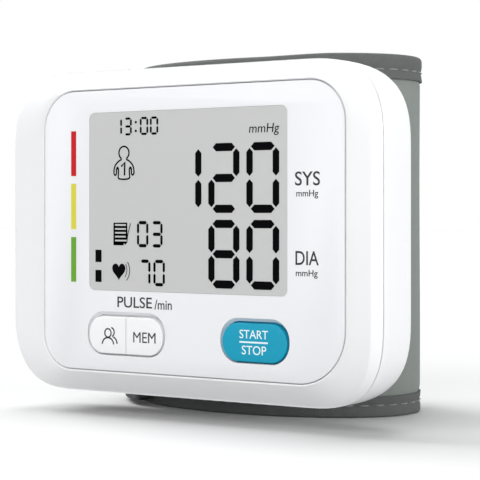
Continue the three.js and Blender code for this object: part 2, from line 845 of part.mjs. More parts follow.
function hose(points) {
  const route = points.map(([x, depth, z]) => new THREE.Vector3(x, depth, z));
  return tube(route, hoseRadius, tubeSides, hoseSteps);
}
const pumpNozzleTop = headHigh + nozzleLength;
place(casing, 'pump_hose', hose([
  [pumpX, airDepth, pumpNozzleTop + seatGap],
  [pumpX, airDepth, pumpNozzleTop + hoseBend],
  [pumpX - hoseBend / 4, airDepth + hoseBend / 3, manifoldZ - hoseBend / 2],
  [(pumpX + manifoldRight) / 2, manifoldDepthAt, manifoldZ],
  [manifoldRight + seatGap, manifoldDepthAt, manifoldZ],
]), siliconeRubber);
const valveInletX = manifoldX + manifoldWidth / 8;
place(casing, 'valve_hose', hose([
  [valveX, valveDepth, valveTip + seatGap],
  [valveX, valveDepth, valveTip + hoseBend],
  [valveInletX, manifoldDepthAt, manifoldLow - hoseBend],
  [valveInletX, manifoldDepthAt, manifoldLow - seatGap],
]), siliconeRubber);
place(casing, 'sensor_hose', hose([
  [sensorX, sensorTip + seatGap, sensorZ],
  [sensorX, sensorTip + seatGap + hoseBend / 3, sensorZ],
  [sensorX + hoseBend / 2, manifoldDepthAt - hoseBend / 4, sensorZ + hoseBend / 3],
  [manifoldX - manifoldWidth / 3, manifoldDepthAt, manifoldLow - 2 * hoseBend],
  [manifoldX - manifoldWidth / 4, manifoldDepthAt, manifoldLow - hoseBend],
  [manifoldX - manifoldWidth / 4, manifoldDepthAt, manifoldLow - seatGap],
]), siliconeRubber);

// The port that leads the air through the case's back into the cuff
const bandOuter = -(coverThickness + seatGap);
const bandInner = bandOuter - bandThickness;
const bladderOuter = bandInner - seatGap;
const bladderInner = bladderOuter - bladderThickness;
const liningOuter = bladderInner - seatGap;
const liningInner = liningOuter - liningThickness;
const portEnd = cuffNear - bladderOuter - seatGap;
place(casing, 'air_port', joined(
  drum(portX, portZ, portRadius, portFlangeDepth, portEnd),
  drum(portX, portZ, portRadius + trayWall, portFlangeDepth, innerBack - seatGap),
), darkPlastic);
const outletDepth = manifoldDepthAt - manifoldDepth / 2 + hoseRadius;
place(casing, 'cuff_hose', hose([
  [manifoldLeft - seatGap, outletDepth, manifoldZ],
  [manifoldLeft - hoseBend, outletDepth, manifoldZ],
  [(manifoldLeft + portX) / 2, outletDepth - hoseBend / 2, manifoldZ - hoseBend / 3],
  [portX + hoseBend / 2, outletDepth - hoseBend / 2, portZ + hoseBend / 3],
  [portX, outletDepth, portZ],
  [portX, portFlangeDepth - seatGap, portZ],
]), siliconeRubber);

// Batteries and their contacts

function cell(x, up) {
  const half = cellLength / 2;
  const profile = [
    [0, -half],
    [cellRadius, -half],
    [cellRadius, half],
    [nubRadius, half],
    [nubRadius, half + nubLength],
    [0, half + nubLength],
  ].map(([radius, height]) => new THREE.Vector2(radius, height));
  const geometry = new THREE.LatheGeometry(profile, drumSides);
  geometry.rotateX(up ? Math.PI / 2 : -Math.PI / 2);
  const shift = (springHeight + seatGap - nubLength) / 2;
  geometry.translate(x, cellDepth, up ? shift : -shift);
  return geometry;
}

function springAt(x, side) {
  const points = [];
  const steps = springTurns * springStepsPerTurn;
  const low = trayEnd - contactThickness - 3 * seatGap - springWire;
  for (let step = 0; step <= steps; step += 1) {
    const share = step / steps;
    const angle = share * springTurns * 2 * Math.PI;
    const radius = springRadius + (springTipRadius - springRadius) * share;
    const height = low - share * (springHeight - 2 * springWire - seatGap);
    const depth = cellDepth + radius * Math.sin(angle);
    points.push(new THREE.Vector3(x + radius * Math.cos(angle), depth, side * height));
  }
  return tube(points, springWire, springSides, steps);
}

function contactPlate(firstX, lastX, side) {
  const left = firstX - contactWidth / 2;
  const right = lastX + contactWidth / 2;
  const outer = side * (trayEnd - seatGap);
  const inner = side * (trayEnd - seatGap - contactThickness);
  return box(
    left, right, cellDepth - contactWidth / 2, cellDepth + contactWidth / 2,
    Math.min(inner, outer), Math.max(inner, outer),
  );
}
place(casing, 'battery_left', cell(cellLeftX, true), cellJacket);
place(casing, 'battery_right', cell(cellRightX, false), cellJacket);
place(casing, 'contact_bridge', contactPlate(cellLeftX, cellRightX, 1), brassPlate);
place(casing, 'contact_negative', contactPlate(cellLeftX, cellLeftX, -1), brassPlate);
place(casing, 'contact_positive', contactPlate(cellRightX, cellRightX, -1), brassPlate);
place(casing, 'battery_spring_left', springAt(cellLeftX, -1), steel);
place(casing, 'battery_spring_right', springAt(cellRightX, 1), steel);

// Screws, each with its head at the back or at the front

function screw(x, z, seat, tip) {
  const away = Math.sign(seat - tip);
  const top = seat + away * screwHeadThickness;
  const span = (from, to) => [Math.min(from, to), Math.max(from, to)];
  const head = drum(x, z, screwHeadRadius, ...span(seat, top));
  const shank = drum(x, z, screwShankRadius, ...span(tip, seat + away * screwHeadThickness / 2));
  const socketSpan = span(top - away * screwSocketDepth, top + away * overrun);
  const socket = drum(x, z, screwSocketRadius, ...socketSpan, socketSides);
  return cutBy(joined(head, shank), socket);
}
caseScrews.forEach(([x, z], index) => {
  const seat = bossEnd + 2 * seatGap + wellFloor;
  place(casing, `case_screw_${index + 1}`, screw(x, z, seat, boardDepth), steel);
});
boardScrews.forEach(([x, z], index) => {
  place(casing, `board_screw_${index + 1}`, screw(x, z, boardBack + seatGap, ledgeBack), steel);
});
cuffScrews.forEach(([x, z], index) => {
  const seat = innerBack - screwHeadThickness / 2 - seatGap;
  place(casing, `cuff_screw_${index + 1}`, screw(x, z, seat, cuffNear - bandInner), steel);
});

// Cuff

const edgeInset = bindingThickness + seatGap;
const hingeGapShare = seatGap / loopLength;
const bodyEndShare = hingeShare - hingeGapShare / 2;
const flapStartShare = hingeShare + hingeGapShare / 2;

function throughBack(geometry) {
  const front = cuffNear - overrun;
  const back = cuffNear - bandInner + 2 * overrun;
  const holes = cuffScrews.map(([x, z]) => drum(x, caseCentreZ + z, cuffHole, front, back));
  const portOpening = drum(portX, caseCentreZ + portZ, portHole, front, back);
  return cutBy(geometry, ...holes, portOpening);
}

place(cuff, 'cuff_cover', throughBack(bandAlong(
  sheetSection(0, coverThickness, edgeInset, cuffHeight - edgeInset), shortEndShare, bodyEndShare,
)), coverFabric);
place(cuff, 'cuff_band', throughBack(bandAlong(
  sheetSection(bandOuter, bandThickness, bandEdgeInset, cuffHeight - bandEdgeInset),
  bandStartShare, bandEndShare,
)), bandPlastic);
place(cuff, 'bladder', bandAlong(
  sheetSection(bladderOuter, bladderThickness, bladderEdgeInset, cuffHeight - bladderEdgeInset),
  bladderStartShare, bladderEndShare,
), bladderRubber);
place(cuff, 'cuff_lining', bandAlong(
  sheetSection(liningOuter, liningThickness, edgeInset, cuffHeight - edgeInset), shortEndShare, bodyEndShare,
), liningFabric);
place(cuff, 'cuff_binding_top', bandAlong(
  bindingSection(liningInner, cuffHeight, 1), shortEndShare, bodyEndShare,
), bindingFabric);
place(cuff, 'cuff_binding_bottom', bandAlong(
  bindingSection(liningInner, 0, -1), shortEndShare, bodyEndShare,
), bindingFabric);

// Flap: it carries on from the cuff's rear end, then rides out over the cuff's short end

const flapLow = flapNarrowing;
const flapHigh = cuffHeight - flapNarrowing;
const flapLiningOuter = -(coverThickness + seatGap);
const flapLiningInner = flapLiningOuter - liningThickness;
const flapBindingInner = flapLiningInner - seatGap - bindingThickness;
const flapRamp = bindingOuter + seatGap - flapBindingInner;

function rampAt(share) {
  return flapRamp * THREE.MathUtils.smoothstep(share, rampStartShare, rampEndShare);
}

place(cuff, 'flap_cover', bandAlong(
  sheetSection(0, coverThickness, flapLow + edgeInset, flapHigh - edgeInset),
  flapStartShare, flapEndShare, rampAt,
), coverFabric);
place(cuff, 'flap_lining', bandAlong(
  sheetSection(flapLiningOuter, liningThickness, flapLow + edgeInset, flapHigh - edgeInset),
  flapStartShare, flapEndShare, rampAt,
), liningFabric);
place(cuff, 'flap_binding_top', bandAlong(
  bindingSection(flapLiningInner, flapHigh, 1), flapStartShare, flapEndShare, rampAt,
), bindingFabric);
place(cuff, 'flap_binding_bottom', bandAlong(
  bindingSection(flapLiningInner, flapLow, -1), flapStartShare, flapEndShare, rampAt,
), bindingFabric);
place(cuff, 'hook_strip', bandAlong(
  sheetSection(
    flapLiningInner - seatGap, hookThickness,
    flapLow + bindingHeight + seatGap, flapHigh - bindingHeight - seatGap,
  ), hookStartShare, flapEndShare, rampAt,
), hookFabric);

export default object;
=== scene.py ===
# Looks for the wrist blood pressure monitor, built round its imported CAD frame.
# Lengths are in millimetres until a mesh is made. A point is (x, depth, z): depth is counted back
# from the faceplate's front, and z up from the surface that the cuff stands on.

import bpy
import bmesh
import math
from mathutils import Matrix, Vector


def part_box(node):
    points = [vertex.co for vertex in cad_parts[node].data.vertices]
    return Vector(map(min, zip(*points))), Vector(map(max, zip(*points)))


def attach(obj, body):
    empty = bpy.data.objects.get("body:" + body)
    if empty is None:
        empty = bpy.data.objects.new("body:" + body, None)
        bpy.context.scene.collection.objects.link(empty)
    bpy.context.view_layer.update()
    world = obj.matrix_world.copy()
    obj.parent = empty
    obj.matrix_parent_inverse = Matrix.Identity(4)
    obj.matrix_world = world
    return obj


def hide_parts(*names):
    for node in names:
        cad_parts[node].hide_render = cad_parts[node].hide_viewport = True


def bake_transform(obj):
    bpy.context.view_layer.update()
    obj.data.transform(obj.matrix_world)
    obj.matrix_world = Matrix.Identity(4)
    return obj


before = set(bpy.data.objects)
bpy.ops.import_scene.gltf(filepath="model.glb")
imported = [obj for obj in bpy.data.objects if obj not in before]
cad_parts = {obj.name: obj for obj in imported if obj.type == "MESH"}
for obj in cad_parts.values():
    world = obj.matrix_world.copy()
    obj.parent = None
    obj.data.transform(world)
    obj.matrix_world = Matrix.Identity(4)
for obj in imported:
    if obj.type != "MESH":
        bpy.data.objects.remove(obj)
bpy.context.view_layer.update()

MILLIMETRE = 0.001


def box_of(node):
    low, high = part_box(node)
    return Vector(low) / MILLIMETRE, Vector(high) / MILLIMETRE


plate_low, plate_high = box_of("faceplate")
front_low, front_high = box_of("front_shell")
front_y = plate_low.y
panel_x = (plate_low.x + plate_high.x) / 2
panel_z = (plate_low.z + plate_high.z) / 2
case_z = (front_low.z + front_high.z) / 2

# Fineness
corner_steps = 18
rounding_steps = 10
edge_steps = 4
rear_steps = 16
drum_sides = 40
pipe_sides = 20
loop_samples = 1440
room_steps = 160
length_steps = 200
sharp_angle = 32
tape_sharp_angle = 60
thread_sharp_angle = 80
least_corner_share = 0.05

# Case
case_width = front_high.x - front_low.x
case_height = front_high.z - front_low.z
case_trim = 0.2
case_corner = 16
case_power = 2.95
case_depth = 17.4
case_wall = 1.5
rear_taper = 8
rear_power = 3.6
parting_depth = 3.1
parting_gap = 0.3
edge_round = 0.18
side_crease_inset = 1.3
side_crease_depth = 1.05
end_crease_inset = 0.4
end_crease_depth = 2.75
side_pull = 0.35
end_pull = 0.15
slope_shares = (0.3, 0.6, 0.85, 0.95)
tongue_length = 1.5
tongue_wall = 0.8
seat_gap = 0.3
overrun = 1

# Cells, tray and door
cell_inset = 8.15
cell_pitch = 10.9
cell_radius = 5.1
tray_end = 24.95
tray_wall = 0.8
tray_front = 6.2
lip_inset = 1.6
door_reach = 8
door_start = 4.6
door_gap = 0.18
grip_pitch = 2.2
grip_width = 1
grip_depth = 0.35
grip_front = 7
grip_back = 12.4

# Saddle, bosses and screws
saddle_half_width = 17
saddle_half_height = 22
saddle_corner = 3
boss_radius = 1.9
boss_end = 10
post_end = 4.6
pilot_radius = 0.9
well_radius = 1.9
well_wall = 0.7
well_front = 10.3
well_seat = 11.5
pad_radius = 2.6
pad_height = 0.55
cuff_pilot_start = 13.7
air_hole_x = 2.5
air_hole_rise = 14
air_hole_radius = 1.6
case_screw_xs = (-14, 32)
case_screw_reach = 26.75
board_screw_places = ((32.5, -17), (32.5, 17), (5.7, -21.6))
cuff_screw_reach_x = 6
cuff_screw_reach_z = 20

# Faceplate
panel_width = plate_high.x - plate_low.x
panel_height = plate_high.z - plate_low.z
panel_corner = 7.3
panel_spread = (0, 0, -0.8, 2.2)
panel_thickness = 1.1
panel_right_trim = 0.2
window_left_trim = 0.04
window_top_trim = 0.19
window_corner = 1.2
window_seam = 0.03
groove_width = 0.15
groove_depth = 0.75
rim_round = 0.3
ledge_width = 1.5
ledge_thickness = 1.2

# Buttons. Trims are how far a key's cap lies inside its solid on each side.
button_gap = 0.28
start_trims = {"left": 0.18, "right": 0.46, "top": 0.22, "low": -0.04}
pair_trims = {"left": 0.12, "right": 0.5, "top": 0.1, "low": -0.07}
button_proud = 0.12
button_edge = 0.16
button_corner = 3.3
button_crown = 0.06
crown_inset = 1.6
flange_reach = 0.7
flange_thickness = 0.6
half_gap = 0.05
half_room_front = -2
half_room_back = 4
half_room_reach = 8
notch_reach = 0.17
notch_depth = 0.14
dish_reach_x = 0.5
dish_reach_z = 0.62
dish_rise = 0.28
dish_profile = [(1, 0), (0.95, 0.03), (0.9, 0.1), (0.15, 0.68), (0.05, 0.74), (0, 0.8)]
stem_radius = 0.8
stem_end = 3.5
half_stem_shift = 3

# Ink. Weights and the slant are shares of a letter's size.
ink_height = 0.03
letter_steps = 5
letter_merge = 0.001
label_weight = 0.007
key_weight = 0.004
reading_slant = 0.12

# Cuff. Shares are parts of its loop's length, and turns are in radians.
loop_half_width = 29.9
loop_half_depth = 18.2
loop_power = 2.05
loop_x = -2.1
loop_depth = 35.9
cuff_height = 67.4
cover_thickness = 0.6
cover_proud = 0.57
cover_edge = (2.2, 3.4)
pucker_reach = 11
pucker_depth = 0.12
ripple_depth = 0.05
ripple_turn_a_stitch = 0.61
ripple_turn_a_height = 0.11
swell_turn_a_stitch = 0.23
swell_start = 1.3
saddle_share = 0.118
clear_share = 0.15
short_end = -0.25
split_share = 0.5
bend_shares = (0.525, 0.6)
bend_reach = -1
flap_end = 0.872
ramp_start = 0.6
ramp_end = 0.7
ramp_height = 3.4
flap_narrowing = 0.7
flap_corner_length = 8
top_corner_drop = 3.2
low_corner_drop = 0.3
lining_inner = -4.9
flap_lining_inner = -1.5

# Bindings, seams and thread
binding_thickness = 0.5
top_tape = {"proud": 0.92, "edge": cuff_height, "rise": 0.42, "direction": 1,
            "height": 4.65, "corner": 0.75, "seam": 2.93}
low_tape = {"proud": 0.66, "edge": 0, "rise": 0, "direction": -1,
            "height": 3.9, "corner": 0.45, "seam": 2.2}
end_tape = {"proud": 0.98, "height": 4.6, "corner": 0.6, "seam": 2.6}
rise_shares = (0.05, 0.15)
cuff_tape_lap = 0.4
flap_tape_lap = 0.5
end_proud = 0.06
fold_steps = 6
face_shares = (0, 0.12, 0.3, 0.42, 0.5, 0.58, 0.75, 1)
columns_a_stitch = 7
seam_width = 0.5
seam_depth = 0.2
seam_pull = 0.08
puff_width = 0.8
puff_height = 0.05
foot_width = 0.8
foot_height = 0.08
stitch_pitch = 2.92
stitch_length = 1.95
stitch_phase = 0.5
thread_radius = 0.17
thread_sunk = 0.24
thread_end_share = 0.55
thread_steps = 6
thread_sides = 8

# Inside the cuff. Insets are from the cuff's edges, and outer is how far a face lies off the loop.
band_shares = (-0.22, 0.53)
band_inset = 4
band_outer = -0.9
band_thickness = 1.5
bladder_shares = (-0.17, 0.4)
bladder_inset = 8
bladder_outer = -2.7
bladder_thickness = 1.3
pillow_edge_share = 0.02
pillow_edge_height = 4
pillow_drop = 0.12
hooks_start = 0.765
hooks_end_share = 0.034
hooks_inset = 5.4
hooks_outer = -1.8
hooks_thickness = 0.6


# Mesh building


def rounded(x, z, width, height, radius, power=2, spread=(0, 0, 0, 0)):
    """A rounded shape; spread is what each corner's radius has more, from the top right leftwards."""
    return {"x": x, "z": z, "width": width, "height": height, "radius": radius, "power": power,
            "spread": spread}


def grown(shape, by):
    radius = max(shape["radius"] + by, shape["radius"] * least_corner_share)
    return rounded(shape["x"], shape["z"], shape["width"] + 2 * by, shape["height"] + 2 * by,
                   radius, shape["power"], shape["spread"])


def bowed(value, power):
    return math.copysign(abs(value) ** (2 / power), value)


def blended(first, last, share):
    return first + (last - first) * share


def outline(shape):
    sides = [(1, 1), (-1, 1), (-1, -1), (1, -1)]
    points = []
    for quarter, ((across, up), more) in enumerate(zip(sides, shape["spread"])):
        radius = shape["radius"] + more
        corner_x = shape["x"] + across * (shape["width"] / 2 - radius)
        corner_z = shape["z"] + up * (shape["height"] / 2 - radius)
        for step in range(corner_steps + 1):
            angle = (quarter + step / corner_steps) * math.pi / 2
            points.append((corner_x + radius * bowed(math.cos(angle), shape["power"]),
                           corner_z + radius * bowed(math.sin(angle), shape["power"])))
    return points


def ring_at(shape, depth):
    return [(x, depth, z) for x, z in outline(shape)]


def circle(radius, sides):
    angles = [side / sides * 2 * math.pi for side in range(sides)]
    return [(radius * math.cos(angle), radius * math.sin(angle)) for angle in angles]


def skin(rings, looped=False):
    """Points and faces of a closed form through rings of points, capped unless it runs in a loop."""
    count = len(rings[0])
    points = [point for ring in rings for point in ring]
    faces = []
    for ring in range(len(rings) if looped else len(rings) - 1):
        here = ring * count
        there = (ring + 1) % len(rings) * count
        for place in range(count):
            following = (place + 1) % count
            faces.append((here + place, here + following, there + following, there + place))
    if not looped:
        faces.append(tuple(reversed(range(count))))
        faces.append(tuple(range(len(points) - count, len(points))))
    return points, faces


def gather(points, faces, more_points, more_faces):
    """Adds one closed skin to the lists of points and faces of a piece that has many."""
    shift = len(points)
    points += more_points
    faces += [tuple(shift + corner for corner in face) for face in more_faces]


def solid(points, faces):
    """An object in the frame's own metres, from points in millimetres."""
    mesh = bpy.data.meshes.new("tool")
    placed = [(x * MILLIMETRE, (depth + front_y) * MILLIMETRE, z * MILLIMETRE) for x, depth, z in points]
    mesh.from_pydata(placed, [], faces)
    work = bmesh.new()
    work.from_mesh(mesh)
    bmesh.ops.recalc_face_normals(work, faces=work.faces)
    work.to_mesh(mesh)
    work.free()
    piece = bpy.data.objects.new("tool", mesh)
    bpy.context.collection.objects.link(piece)
    return piece


def skinned(rings, looped=False):
    return solid(*skin(rings, looped))


def loft(sections):
    return skinned([ring_at(shape, depth) for shape, depth in sections])


def block(left, right, front, back, low, high):
    corners = [(left, low), (right, low), (right, high), (left, high)]
    return skinned([[(x, depth, z) for x, z in corners] for depth in (front, back)])


def drum(x, z, radius, front, back):
    return skinned([[(x + across, depth, z + up) for across, up in circle(radius, drum_sides)]
                    for depth in (front, back)])


def turned(x, depth, profile):
    """A round body on an upright axis, from its (radius, height) profile."""
    return skinned([[(x + across, depth + back, height) for across, back in circle(radius, drum_sides)]
                    for radius, height in profile])


def smoothed(points, steps):
    """A curve through the points, with as many steps in each stretch."""
    points = [Vector(point) for point in points]
    ends = [2 * points[0] - points[1], *points, 2 * points[-1] - points[-2]]
    curve = []
    for a, b, c, d in zip(ends, ends[1:], ends[2:], ends[3:]):
        for step in range(steps):
            part = step / steps
            bend = 2 * a - 5 * b + 4 * c - d
            twist = 3 * b - a - 3 * c + d
            curve.append((2 * b + (c - a) * part + bend * part ** 2 + twist * part ** 3) / 2)
    curve.append(points[-1])
    return curve


def pipe(route, radius, bore):
    """A hose with an open bore along a route of (x, depth, z) points."""
    path = smoothed(route, rounding_steps)
    across = (path[1] - path[0]).orthogonal()
    angles = [side / pipe_sides * 2 * math.pi for side in range(pipe_sides)]
    outer, inner = [], []
    for place, point in enumerate(path):
        ahead = path[min(place + 1, len(path) - 1)] - path[max(place - 1, 0)]
        across = (across - across.project(ahead)).normalized()
        up = ahead.cross(across).normalized()
        for rings, reach in ((outer, radius), (inner, bore)):
            rings.append([point + across * reach * math.cos(angle) + up * reach * math.sin(angle)
                          for angle in angles])
    return skinned(outer + inner[::-1], looped=True)


def combined(base, tools, operation):
    for tool in tools:
        change = base.modifiers.new("combine", "BOOLEAN")
        change.operation = operation
        change.solver = "EXACT"
        change.object = tool
    bpy.context.view_layer.update()
    seen = base.evaluated_get(bpy.context.evaluated_depsgraph_get())
    mesh = bpy.data.meshes.new_from_object(seen)
    base.modifiers.clear()
    base.data = mesh
    for tool in tools:
        bpy.data.objects.remove(tool)
    return base


def cut(base, *tools):
    return combined(base, tools, "DIFFERENCE")


def joined(base, *tools):
    return combined(base, tools, "UNION")


def kept_in(base, tool):
    return combined(base, [tool], "INTERSECT")


def settled(piece, name, look, slot, body, *nodes, angle=sharp_angle):
    """Gives a piece its name, look and body, and hides the nodes it stands in for. Its slot is not used.
    """
    piece.name = name
    piece.data.name = name
    piece.data.materials.clear()
    piece.data.materials.append(look)
    for polygon in piece.data.polygons:
        polygon.use_smooth = True
    piece.data.set_sharp_from_angle(angle=math.radians(angle))
    if nodes:
        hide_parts(*nodes)
    if body:
        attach(piece, body)
    return piece


# Looks

grain_detail = 4
rough_spread = 0.06
coat_roughness = 0.08
sheen_roughness = 0.4
weave_wander = 0.6
weave_detail = 2
# The length of a wave texture's band at a scale of one
wave_at_scale_one = math.pi / 10
# The places of a mix node's two colours and of its mixed colour
mix_first, mix_second, mix_result = 6, 7, 2


def fill(tree, node, inputs):
    """Gives each input of a node its value, or the output of another node that feeds it."""
    for place, value in inputs.items():
        if isinstance(value, bpy.types.NodeSocket):
            tree.links.new(value, node.inputs[place])
        else:
            node.inputs[place].default_value = value


def added(tree, kind, inputs=None, **settings):
    node = tree.nodes.new("ShaderNode" + kind)
    for setting, value in settings.items():
        setattr(node, setting, value)
    fill(tree, node, inputs or {})
    return node


def look_of(name, colour, roughness, metallic=0.0, grain=0.4, mottle=0.03, relief=0.004, coat=0.0,
            sheen=0.0, gloss=0.5):
    look = bpy.data.materials.new(name)
    look.use_nodes = True
    tree = look.node_tree
    place = added(tree, "TexCoord")
    noise = added(tree, "TexNoise", {"Vector": place.outputs["Object"],
                                     "Scale": 1 / (grain * MILLIMETRE), "Detail": grain_detail})
    speck = noise.outputs["Fac"]
    darker = [max(0, part * (1 - mottle)) for part in colour]
    paler = [min(1, part * (1 + mottle)) for part in colour]
    shade = added(tree, "Mix", {0: speck, mix_first: (*darker, 1), mix_second: (*paler, 1)},
                  data_type="RGBA")
    spread = added(tree, "MapRange", {"Value": speck, "To Min": max(0, roughness - rough_spread),
                                      "To Max": min(1, roughness + rough_spread)})
    bump = added(tree, "Bump", {"Height": speck, "Distance": relief * MILLIMETRE})
    fill(tree, tree.nodes["Principled BSDF"], {
        "Metallic": metallic,
        "Specular IOR Level": gloss,
        "Coat Weight": coat,
        "Coat Roughness": coat_roughness,
        "Sheen Weight": sheen,
        "Sheen Roughness": sheen_roughness,
        "Base Color": shade.outputs[mix_result],
        "Roughness": spread.outputs["Result"],
        "Normal": bump.outputs["Normal"],
    })
    return look


def woven(look, thread, relief, contrast):
    """Adds crossing threads, read from the cloth's own map, to a look's colour and relief."""
    tree = look.node_tree
    shader = tree.nodes["Principled BSDF"]
    cloth = added(tree, "UVMap", uv_map="cloth")
    bands = {"Vector": cloth.outputs["UV"], "Scale": wave_at_scale_one / (thread * MILLIMETRE),
             "Distortion": weave_wander, "Detail Scale": weave_detail}
    warp, weft = (added(tree, "TexWave", bands, bands_direction=direction).outputs["Fac"]
                  for direction in ("X", "Y"))
    crossing = added(tree, "Math", {0: warp, 1: weft}, operation="MULTIPLY").outputs[0]
    bump = added(tree, "Bump", {"Distance": relief * MILLIMETRE, "Height": crossing,
                                "Normal": shader.inputs["Normal"].links[0].from_socket})
    dark = 1 - contrast
    tint = added(tree, "Mix", {0: crossing, mix_first: shader.inputs["Base Color"].links[0].from_socket,
                               mix_second: (dark, dark, dark, 1)}, data_type="RGBA", blend_type="MULTIPLY")
    fill(tree, shader, {"Normal": bump.outputs["Normal"], "Base Color": tint.outputs[mix_result]})
    return look


white_gloss = look_of("white_gloss", (0.86, 0.865, 0.875), 0.3, coat=0.25, grain=0.5, mottle=0.008)
panel_look = look_of("panel_sheet", (0.875, 0.88, 0.905), 0.32, grain=0.3, mottle=0.006, relief=0.002)
window_look = look_of("window", (0.57, 0.575, 0.57), 0.3, grain=0.25, mottle=0.012, relief=0.001)
turquoise = look_of("turquoise_key", (0.002, 0.34, 0.515), 0.42, grain=0.3, gloss=0.25)
key_white = look_of("white_key", (0.92, 0.925, 0.935), 0.34, grain=0.3, mottle=0.008)
black_ink = look_of("black_ink", (0.0015, 0.0015, 0.002), 0.6, grain=0.2, mottle=0.2, gloss=0.02)
grey_ink = look_of("grey_ink", (0.035, 0.035, 0.04), 0.5, grain=0.2, mottle=0.1, gloss=0.2)
pale_ink = look_of("pale_ink", (0.83, 0.95, 0.97), 0.4, grain=0.2, mottle=0.02)
red_ink = look_of("red_ink", (0.58, 0.012, 0.018), 0.5, grain=0.2, mottle=0.04, gloss=0.15)
yellow_ink = look_of("yellow_ink", (0.72, 0.67, 0.075), 0.5, grain=0.2, gloss=0.15)
green_ink = look_of("green_ink", (0.14, 0.38, 0.035), 0.5, grain=0.2, mottle=0.04, gloss=0.15)
dark_plastic = look_of("dark_plastic", (0.025, 0.027, 0.03), 0.55, grain=0.25, mottle=0.15, relief=0.01)
steel = look_of("steel", (0.6, 0.61, 0.63), 0.32, metallic=1, grain=0.12, mottle=0.08)
tin = look_of("motor_metal", (0.62, 0.63, 0.65), 0.4, metallic=1, grain=0.3, mottle=0.05, relief=0.003)
brass = look_of("plated_contact", (0.68, 0.56, 0.28), 0.34, metallic=1, grain=0.2, mottle=0.06)
board_green = look_of("board_green", (0.03, 0.16, 0.075), 0.42, grain=0.6, mottle=0.12, relief=0.01)
jacket = look_of("cell_jacket", (0.05, 0.055, 0.065), 0.34, metallic=0.6, grain=0.3, mottle=0.08)
glass_look = look_of("display_glass", (0.5, 0.52, 0.49), 0.15, grain=0.3, relief=0.001)
silicone = look_of("silicone", (0.62, 0.6, 0.56), 0.5, grain=0.3, mottle=0.05, relief=0.01)
rubber = look_of("bladder_rubber", (0.26, 0.28, 0.27), 0.6, grain=0.25, mottle=0.1, relief=0.02)
band_look = look_of("band_plastic", (0.74, 0.72, 0.67), 0.45, mottle=0.04, relief=0.01)
cover_cloth = woven(
    look_of("cover_cloth", (0.23, 0.252, 0.238), 0.72, grain=1.8, mottle=0.05, relief=0.03, gloss=0.15),
    thread=0.32, relief=0.03, contrast=0.05)
binding_tape = woven(
    look_of("binding_tape", (0.118, 0.124, 0.122), 0.75, grain=1.4, mottle=0.12, relief=0.03, gloss=0.12),
    thread=0.42, relief=0.05, contrast=0.07)
lining_cloth = woven(
    look_of("lining_cloth", (0.17, 0.19, 0.18), 0.8, grain=0.3, mottle=0.15, relief=0.06, sheen=0.3),
    thread=0.5, relief=0.08, contrast=0.15)
hook_tape = woven(
    look_of("hook_tape", (0.05, 0.058, 0.055), 0.8, grain=0.2, mottle=0.2, relief=0.1, sheen=0.2),
    thread=0.9, relief=0.25, contrast=0.4)
thread_look = look_of("thread", (0.22, 0.235, 0.23), 0.6, grain=0.15, mottle=0.15, relief=0.03, gloss=0.3)


# Case

case_shape = rounded(-case_trim / 2, case_z - case_trim / 2, case_width - case_trim,
                     case_height - case_trim, case_corner, case_power)
panel_shape = rounded(panel_x - panel_right_trim / 2, panel_z, panel_width - panel_right_trim,
                      panel_height, panel_corner, spread=panel_spread)
case_left = -case_width / 2
inner_back = case_depth - case_wall
rear_front = parting_depth + parting_gap
ledge_front = panel_thickness + seat_gap
ledge_back = ledge_front + ledge_thickness
cell_left_x = case_left + cell_inset
cell_right_x = cell_left_x + cell_pitch
tray_right = cell_right_x + cell_radius + seat_gap
door_right = case_left + door_reach
case_screws = [(x, case_z + z) for x in case_screw_xs for z in (-case_screw_reach, case_screw_reach)]
board_screws = [(x, case_z + z) for x, z in board_screw_places]
cuff_screws = [(loop_x + x, case_z + z) for x in (-cuff_screw_reach_x, cuff_screw_reach_x)
               for z in (-cuff_screw_reach_z, cuff_screw_reach_z)]


def crease_and_corner():
    """The front's crease and the point that rounds it off, at each place round the case."""
    insets = (side_crease_inset, end_crease_inset, side_pull, end_pull)
    outlines = [outline(grown(case_shape, -inset)) for inset in insets]
    crease, corner = [], []
    for place, (side, end, side_corner, end_corner) in enumerate(zip(*outlines)):
        quarter, step = divmod(place, corner_steps + 1)
        upright = math.sin((quarter + step / corner_steps) * math.pi / 2) ** 2
        depth = blended(side_crease_depth, end_crease_depth, upright)
        for ring, level, (first_x, first_z), (last_x, last_z) in (
            (crease, depth, side, end),
            (corner, (depth + parting_depth) / 2, side_corner, end_corner),
        ):
            ring.append((blended(first_x, last_x, upright), level, blended(first_z, last_z, upright)))
    return crease, corner


